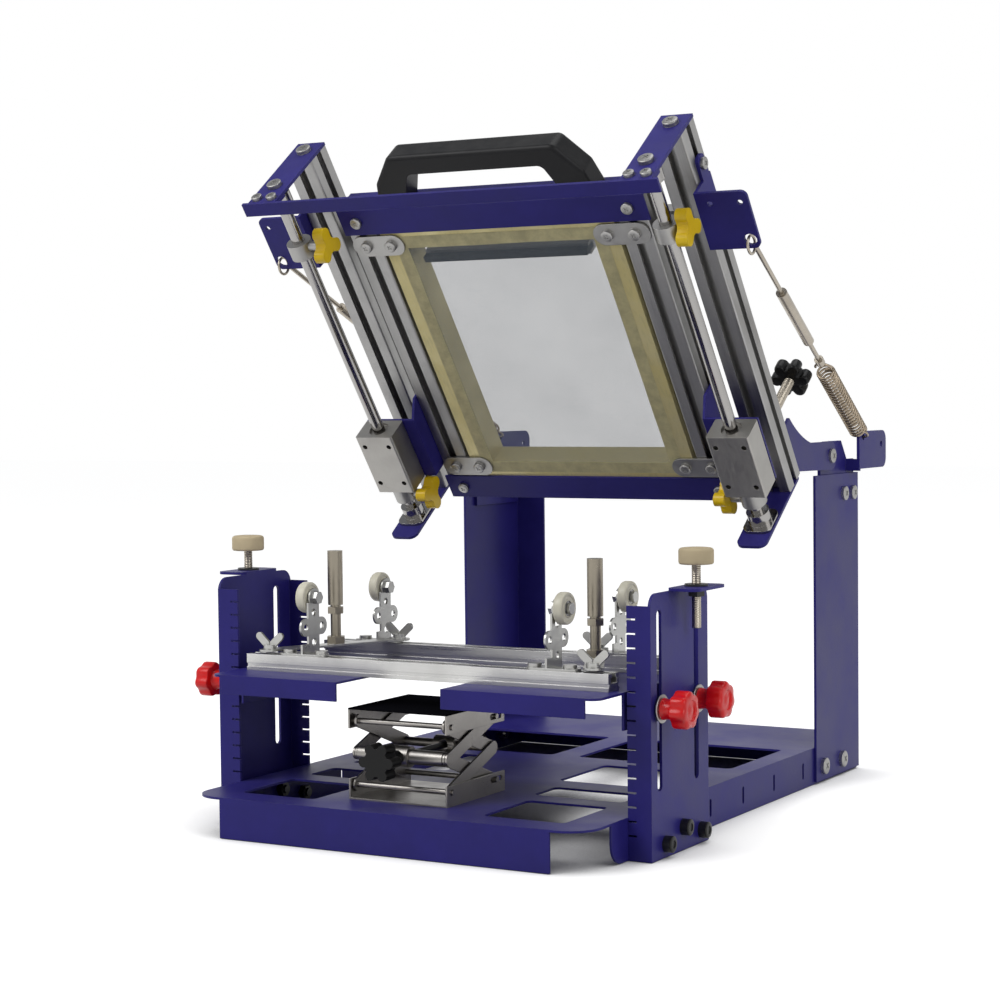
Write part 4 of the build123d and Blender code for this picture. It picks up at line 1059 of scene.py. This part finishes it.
@dataclass
class Wheel:
    """White bottle roller with a pressed bearing."""

    place: str
    side: Side
    depth: float
    x: Pair = (127.0, 136.0)
    radius: float = 14.0
    height: float = 206.0

    def build(self) -> None:
        """Rounded tyre, recessed web and bearing rings."""
        near, far = self.x
        axle = cross_axle(self.side, self.depth, self.height)
        r = self.radius

        def shape(work: MeshWork) -> None:
            """Turn the wheel, from the bore outward and back.

            Args:
                work: Mesh to add to.
            """
            half = ((3.15, 0.8), (4.4, 0.8), (4.5, 1.1), (6.4, 1.1), (6.5, 0.5), (7.6, 0.4), (7.9, 1.0),
                    (10.6, 1.0), (11.0, 0.3), (12.2, 0.0), (13.3, 0.4), (13.85, 1.4), (r, 2.8))
            back = [(radius, far - near - h) for radius, h in reversed(half)]
            profile = [(radius, near + h) for radius, h in (*half, *back)]
            bands = [1, 1, 1, 1] + [0] * (len(profile) - 9) + [1] * 4
            rings = [[work.verts.new(axle.at(q * MM, math.tau * k / 56, h * MM)) for k in range(56)]
                     for q, h in profile]
            bridge_rings(work, [*rings, rings[0]], [*bands, 1])
        name = f"roller_{self.place}_{self.side.word}"
        finish_piece(mesh_object(f"bearing_{name}", shape, 35), name, "white_plastic", Shade.WHEEL,
                     Shade.ZINC, replaced=name)


@dataclass
class RestStop:
    """Height stop: threaded bolt with a beige pad on top."""

    side: Side
    x: float = 232.0
    depth: float = 140.0
    pad: Pair = (243.0, 257.0)
    pad_radius: float = 15.0
    bolt: float = 4.0
    half_pitch: float = 0.75

    def build(self) -> None:
        """Dress the bolt and lay the pad over it."""
        name = f"rest_stop_{self.side.word}"
        low, high = self.pad
        axle = Axle(Vector((self.side.value * self.x, FRONT + self.depth, 0)) * MM, Vector((0, 0, 1)),
                    Vector((1, 0, 0)))
        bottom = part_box(name)[0][2] / MM
        r = self.pad_radius

        def shape(work: MeshWork) -> None:
            """Turn the bolt with its thread, and the pad.

            Args:
                work: Mesh to add to.
            """
            step = self.half_pitch
            thread = [(self.bolt - (0.3 if k % 2 else 0.0), bottom + 0.6 + step * k)
                      for k in range(int((low - bottom) / step))]
            lathe(work, axle, ((3.2, bottom), *thread, (self.bolt, low)), 32, [1] * (len(thread) + 1))
            lathe(work, axle, ((8.6, low - 0.1), (r - 1.2, low), (r - 0.3, low + 0.7), (r, low + 2.0),
                               (r, high - 2.6), (r - 0.5, high - 1.2), (r - 1.8, high - 0.3), (r - 4, high),
                               (r - 9, high - 0.1)))
        finish_piece(mesh_object(f"padded_{name}", shape), name, "beige_rubber", Shade.PAD, Shade.BOLT,
                     replaced=name)


@dataclass
class BottleShelf:
    """Roller stands, wheels and rest stops."""

    axles: tuple[tuple[str, float], ...] = (("front", 92.0), ("rear", 212.0))

    def build(self) -> None:
        """Make the wheels and stops, and dress the stands."""
        for side in Side:
            dress_nodes(Shade.STAND, f"roller_stand_{side.word}")
            for place, depth in self.axles:
                Wheel(place, side, depth).build()
            RestStop(side).build()


@dataclass
class Head:
    """Tilting head with its profiles, carriage, screen and handle."""

    coated: tuple[str, ...] = ("end_caps", "front_bar", "hinge_gussets", "side_brackets", "crossbars",
                               "carriage_brackets")
    extruded: tuple[str, ...] = ("outer_profiles", "inner_profiles", "squeegee_beam", "squeegee_holder")
    plated: tuple[str, ...] = ("head_screws", "frame_clamps")
    single: tuple[tuple[Shade, str], ...] = (
        (Shade.BLOCK, "bearing_blocks"), (Shade.SHAFT, "guide_shafts"), (Shade.BLADE, "squeegee_blade"),
        (Shade.BLACK, "handle"), (Shade.FRAME, "screen_frame"))
    mesh_x: float = 111.0
    mesh_u: Pair = (73.0, 355.0)
    mesh_w: Pair = (119.0, 119.4)

    def build(self) -> None:
        """Dress the head and stretch its mesh."""
        dress_nodes(Shade.COAT, *self.coated)
        dress_nodes(Shade.PROFILE, *self.extruded)
        dress_nodes(Shade.ZINC, *self.plated, *corners("stop_collar"))
        for shade, name in self.single:
            dress_nodes(shade, name)
        self.stretch_mesh()

    def stretch_mesh(self) -> None:
        """Weave the mesh over the frame's opening."""
        x, (u0, u1), w = self.mesh_x, self.mesh_u, sum(self.mesh_w) / 2
        columns, rows = 24, 30

        def shape(work: MeshWork) -> None:
            """Lay a thin even grid with its own flat coordinates.

            Args:
                work: Mesh to add to.
            """
            flat = work.loops.layers.uv.new("flat")
            grid = []
            for j in range(rows + 1):
                u = u0 + (u1 - u0) * j / rows
                grid.append([work.verts.new(head_point(-x + 2 * x * i / columns, u, w))
                             for i in range(columns + 1)])
            for j in range(rows):
                for i in range(columns):
                    face = work.faces.new((grid[j][i], grid[j][i + 1], grid[j + 1][i + 1], grid[j + 1][i]))
                    places = ((i, j), (i + 1, j), (i + 1, j + 1), (i, j + 1))
                    for loop, (a, b) in zip(face.loops, places):
                        loop[flat].uv = (2 * x * MM * a / columns, (u1 - u0) * MM * b / rows)
        piece = mesh_object("screen_weave", shape)
        finish_piece(piece, "carriage", "screen_fabric", Shade.WEAVE, replaced="screen_mesh")


class Drive(Enum):
    """Recess of a screw head."""

    CROSS = "cross"
    HEXAGON = "hexagon"

    def outline(self, radius: float) -> Callable[[float], float]:
        """Recess outline for a head.

        Args:
            radius: Radius of the head, mm.

        Returns:
            The recess's radius for an angle.
        """
        def cross(angle: float) -> float:
            """Reach of a plus sign.

            Args:
                angle: Angle round the axis, radians.

            Returns:
                The reach, mm.
            """
            c, s = abs(math.cos(angle)) + 1e-6, abs(math.sin(angle)) + 1e-6
            long, half = 0.46 * radius, 0.12 * radius
            return max(min(long / c, half / s), min(half / c, long / s))

        def hexagon(angle: float) -> float:
            """Reach of a hexagon."""
            near = (angle + math.pi / 6) % (math.pi / 3) - math.pi / 6
            return 0.46 * radius / math.cos(near)
        return cross if self is Drive.CROSS else hexagon


@dataclass
class ScrewCrowns:
    """Domed crowns with a drive recess over the plain screw heads."""

    rise: float = 0.8
    least: float = 4.6
    skin: float = 5e-5
    covered_within: float = 0.0035
    bored_below: float = 0.8
    blackened_before: float = -0.10
    clamp_x: tuple[float, ...] = (114.0, 141.0)
    clamp_u: tuple[float, ...] = (81.0, 347.0)
    corner_x: float = 142.0
    corner_u: tuple[float, ...] = (54.0, 374.0)

    def build(self) -> None:
        """Crown the screws of the base, the head and the carriage."""
        across = head_way(0, 1)
        clamps = [(head_point(s.value * x, u, 124.4), across, 5.5)
                  for s in Side for x in self.clamp_x for u in self.clamp_u]
        clamps += [(head_point(s.value * self.corner_x, u, 124.0), across, 5.5)
                   for s in Side for u in self.corner_u]
        self.crown("clamp_screw_crowns", "carriage", clamps, Drive.CROSS, Shade.ZINC)
        self.crown("head_screw_crowns", "head", self.ends("head_screws"), Drive.CROSS, Shade.ZINC)
        found = self.ends("base_screws")
        black = [end for end in found if end[0].y < self.blackened_before]
        self.crown("column_screw_crowns", "base", black, Drive.HEXAGON, Shade.KNOB_BLACK)
        bright = [end for end in found if end not in black]
        self.crown("post_screw_crowns", "base", bright, Drive.CROSS, Shade.ZINC)

    def ends(self, node: str) -> list[tuple[Vector, Vector, float]]:
        """Find the open flat ends of a CAD piece's screw heads.

        Args:
            node: CAD piece that holds the screws.

        Returns:
            Middle, direction and radius in mm of each open end.
        """
        axes = (head_way(1, 0), head_way(0, 1), Vector((1, 0, 0)), Vector((0, 1, 0)), Vector((0, 0, 1)))
        work = bmesh.new()
        work.from_mesh(bpy.data.objects[node].data)
        bmesh.ops.remove_doubles(work, verts=work.verts, dist=1e-6)
        left, found = set(work.verts), []
        depsgraph = bpy.context.evaluated_depsgraph_get()
        for seed in work.verts:
            if seed not in left:
                continue
            left.remove(seed)
            island, queue = [], [seed]
            while queue:
                vert = queue.pop()
                island.append(vert.co.copy())
                for edge in vert.link_edges:
                    other = edge.other_vert(vert)
                    if other in left:
                        left.remove(other)
                        queue.append(other)
            axis = min(axes, key=lambda a: self.uneven(island, a))
            for way in (axis, -axis):
                top = max(co.dot(way) for co in island)
                ring = [co for co in island if top - co.dot(way) < self.skin]
                middle = sum(ring, Vector()) / len(ring)
                reach = [(co - middle).length / MM for co in ring]
                radius, bored = max(reach), min(reach) < self.bored_below * max(reach)
                hidden = bpy.context.scene.ray_cast(depsgraph, middle + way * self.skin, way,
                                                    distance=self.covered_within)[0]
                if radius >= self.least and not bored and not hidden:
                    found.append((middle, way, radius))
        work.free()
        return found

    def uneven(self, island: Sequence[Vector], axis: Vector) -> float:
        """How far a screw is from round about an axis, metres.

        Args:
            island: The screw's points, metres.
            axis: Direction of the axis.

        Returns:
            The unevenness, metres.
        """
        first = axis.orthogonal().normalized()
        spans = []
        for k in range(8):
            line = Matrix.Rotation(k * math.pi / 8, 3, axis) @ first
            reach = [co.dot(line) for co in island]
            spans.append(max(reach) - min(reach))
        return max(spans) - min(spans)

    def crown(self, name: str, body: str, ends: Sequence[tuple[Vector, Vector, float]], drive: Drive,
              shade: Shade) -> None:
        """Make one piece of all the crowns on a body.

        Args:
            name: Name of the piece.
            body: CAD body that carries it.
            ends: Middle, direction and radius of each head.
            drive: Recess of the heads.
            shade: Finish of the heads.
        """
        def shape(work: MeshWork) -> None:
            """Add each crown.

            Args:
                work: Mesh to add to.
            """
            for middle, way, r in ends:
                axle = Axle(middle, way, way.orthogonal().normalized())
                top = self.rise
                lobed_head(work, axle, drive.outline(r), (
                    (0, -0.4, 0.0, r + 0.06), (0, 0.0, 0.0, r + 0.06), (0, 0.45 * top, 0.0, r - 0.35),
                    (0, 0.8 * top, 0.0, 0.8 * r), (0, 0.97 * top, 0.0, 0.6 * r), (0, top, 1.0, 0),
                    (0.1, 0.06, 1.0, 0)), 48)
        finish_piece(mesh_object(name, shape, 50), body, "zinc_plate", shade)


@dataclass
class SpringSet:
    """Extension spring and turnbuckle on one side."""

    side: Side
    hook: tuple[float, float, float] = (211.5, 259.0, 340.0)
    shackle: tuple[float, float, float] = (247.0, -99.10, 519.35)
    coil: float = 8.1
    wire: float = 1.2
    turns: int = 23
    pitch: float = 5.8
    hook_radius: float = 7.5
    turn_steps: int = 22
    lead_steps: int = 8
    lead_rise: float = 2.0
    hook_angles: tuple[range, range] = (range(95, -176, -11), range(-175, 96, 11))

    def build(self) -> None:
        """Wind the spring and dress the turnbuckle."""
        name, mirror = self.side.word, Vector((self.side.value, 1, 1))
        start, end = Vector(self.hook) * mirror, Vector(self.shackle) * mirror
        along = (end - start).normalized()
        across = Vector((0, along.z, -along.y)).normalized()
        sideways = along.cross(across)
        r, first = self.coil, 2 * self.hook_radius
        last = first + self.turns * self.pitch

        def place(x: float, y: float, z: float) -> Vector:
            """Point of the spring's own frame, in metres."""
            return (start + across * x + sideways * y + along * z) * MM

        def hooked(height: float, way: int, angles: range) -> list[Vector]:
            """Points of a hook.

            Args:
                height: Height of the middle, mm.
                way: 1 or -1, the way it faces.
                angles: Angles of its points, degrees.

            Returns:
                The points, metres.
            """
            h = self.hook_radius
            return [place(0, h * math.sin(a), height + way * h * math.cos(a))
                    for a in map(math.radians, angles)]

        def lead(height: float, way: int) -> list[Vector]:
            """Points of the wire from a hook to the coil's end.

            Args:
                height: Height of the coil's end, mm.
                way: 1 where the coil is above the hook, -1 where it is below.

            Returns:
                The points, metres.
            """
            shares = [k / self.lead_steps for k in range(1, self.lead_steps + 1)]
            return [place(r * share * math.cos(share * 1.5) * 0.5, -r * share * 0.8,
                          height - way * self.lead_rise * (1 - share)) for share in shares]

        path = hooked(self.hook_radius, -1, self.hook_angles[0]) + lead(first, 1)
        steps = self.turn_steps * self.turns
        for k in range(steps + 1):
            angle = -math.pi / 2 + math.tau * self.turns * k / steps
            path.append(place(r * math.cos(angle), r * math.sin(angle), first + (last - first) * k / steps))
        path += lead(last, -1)[-2::-1] + hooked(last + self.hook_radius, 1, self.hook_angles[1])
        piece = mesh_object(f"wound_spring_{name}", lambda work: tube(work, path, self.wire, 10), 70)
        finish_piece(piece, "", "zinc_plate", Shade.SPRING, replaced=f"spring_{name}")
        tuple(place(0, 0, first))
        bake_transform(piece)
        dress_nodes(Shade.BOLT, f"turnbuckle_{name}")


@dataclass
class Jack:
    """Scissor jack under the shelf."""

    steel: tuple[str, ...] = ("jack_base", "jack_arm_lower_outer", "jack_arm_lower_inner",
                              "jack_arm_upper_inner", "jack_arm_upper_outer", "jack_front_tube")

    def build(self) -> None:
        """Dress the jack."""
        dress_nodes(Shade.JACK, *self.steel)
        dress_nodes(Shade.JACK_TABLE, "jack_top")
        dress_nodes(Shade.KNOB_BLACK, "jack_screw")


# ---- light and camera ----

@dataclass
class Studio:
    """Pale floor and backdrop, soft light and the camera."""

    place: tuple[float, float, float] = (1.035, -1.912, 0.388)
    azimuth: float = 29.873
    pitch: float = -2.695
    roll: float = 0.625
    focal: float = 2263.2
    image: float = 1000.0
    sensor: float = 36.0
    floor_reach: float = 9.0
    floor_drop: float = 0.0006
    aim: tuple[float, float, float] = (0.0, 0.0, 0.3)
    lamps: tuple[tuple[str, tuple[float, float, float], float, float], ...] = (
        ("Key softbox", (-1.3, -1.9, 2.2), 1.5, 37.0), ("Fill softbox", (2.4, -0.9, 1.5), 1.4, 18.0),
        ("Top softbox", (0.2, 0.4, 2.6), 1.6, 16.0))

    def build(self) -> None:
        """Set the stage, lamps, world, view and camera."""
        self.set_stage()
        self.set_world()
        for name, place, size, power in self.lamps:
            self.hang_lamp(name, Vector(place), size, power)
        self.set_camera()
        bpy.context.scene.view_settings.view_transform = "Standard"

    def seen_white(self, title: str, colour: float, glow: float) -> bpy.types.Material:
        """Pale matt paint that shows near white and keeps shadows, with painted shade where its glow is cut
        under and round the press.

        Args:
            title: Name of the material.
            colour: Grey of the paint.
            glow: Light added for the camera, mirrors and glass, cut back to painted shade where the press
                hems the floor in.

        Returns:
            The material.
        """
        made = bpy.data.materials.new(title)
        made.use_nodes = True
        made.node_tree.nodes.clear()
        nodes = Nodes(made.node_tree)
        shader = nodes.add("BsdfPrincipled", None, Roughness=0.9, Base_Color=(colour, colour, colour, 1.0),
                           Specular_IOR_Level=0.0)
        # Painted shade: the glow fades where the press hems the floor in, so the floor under and round it is
        # darkened.
        occlusion_for_painted_shade = nodes.add("AmbientOcclusion", {"samples": 8}, Distance=0.3).outputs["AO"]
        lift = nodes.math("MULTIPLY", nodes.range(occlusion_for_painted_shade, 0.2, 0.85), glow)
        glow_with_painted_shade = nodes.add("Emission", None, Strength=nodes.math("MULTIPLY", nodes.seen(), lift))
        both = nodes.add("AddShader", None, i0=shader.outputs[0], i1=glow_with_painted_shade.outputs[0])
        nodes.feed(nodes.add("OutputMaterial"), Surface=both.outputs[0])
        return made

    def set_stage(self) -> None:
        """Lay a wide floor."""
        def sweep(work: MeshWork) -> None:
            """Add one large face."""
            r = self.floor_reach
            work.faces.new([work.verts.new((x, y, 0)) for x, y in ((-r, -r), (r, -r), (r, r), (-r, r))])
        floor = mesh_object("studio_floor", sweep)
        floor.location.z = -self.floor_drop
        floor.data.materials.append(self.seen_white("Pale floor", 0.55, 0.9))

    def set_world(self) -> None:
        """Light the press softly from all round, with white behind it."""
        world = bpy.data.worlds.new("Soft room")
        bpy.context.scene.world = world
        world.use_nodes = True
        world.node_tree.nodes.clear()
        nodes = Nodes(world.node_tree)
        up = nodes.split(nodes.add("TexCoord").outputs["Generated"])["Z"]
        tone = nodes.mix(nodes.range(up, 0.25, 0.8), (1.0, 1.0, 1.0), (0.34, 0.35, 0.37))
        strength = nodes.range(nodes.seen(), 0.0, 1.0, 0.3, 1.0)
        back = nodes.add("Background", None, Color=tone, Strength=strength)
        nodes.feed(nodes.add("OutputWorld"), Surface=back.outputs[0])

    def hang_lamp(self, name: str, place: Vector, size: float, power: float) -> None:
        """Hang one soft lamp, aimed at the press.

        Args:
            name: Name of the lamp.
            place: Where it hangs, metres.
            size: Side of its square, metres.
            power: Watts.
        """
        lamp = bpy.data.lights.new(name, "AREA")
        lamp.shape, lamp.size, lamp.energy = "SQUARE", size, power
        holder = bpy.data.objects.new(name, lamp)
        holder.location = place
        holder.rotation_euler = (Vector(self.aim) - place).to_track_quat("-Z", "Y").to_euler()
        bpy.context.scene.collection.objects.link(holder)

    def set_camera(self) -> None:
        """Stand the camera where the photograph was taken."""
        a, p, r = (math.radians(v) for v in (self.azimuth, self.pitch, self.roll))
        right = Vector((math.cos(a), math.sin(a), 0))
        ahead = Vector((-math.sin(a) * math.cos(p), math.cos(a) * math.cos(p), math.sin(p)))
        down = ahead.cross(right)
        right, down = (math.cos(r) * right + math.sin(r) * down, -math.sin(r) * right + math.cos(r) * down)
        lens = bpy.data.cameras.new("Photo view")
        lens.sensor_width = self.sensor
        lens.lens = self.focal / self.image * self.sensor
        camera = bpy.data.objects.new("Photo view", lens)
        turn = Matrix((right, -down, -ahead)).transposed().to_4x4()
        camera.matrix_world = Matrix.Translation(self.place) @ turn
        bpy.context.scene.collection.objects.link(camera)
        bpy.context.scene.camera = camera


def main() -> None:
    """Build the press's looks, piece by piece."""
    logging.basicConfig(level=logging.INFO, format="%(name)s: %(message)s")
    for assembly in (Studio(), Stand(), Knobs(), BottleShelf(), Head(), *map(SpringSet, Side), Jack(),
                     ScrewCrowns()):
        assembly.build()
        LOG.info("%s is built", type(assembly).__name__)


if __name__ == "__main__":
    main()
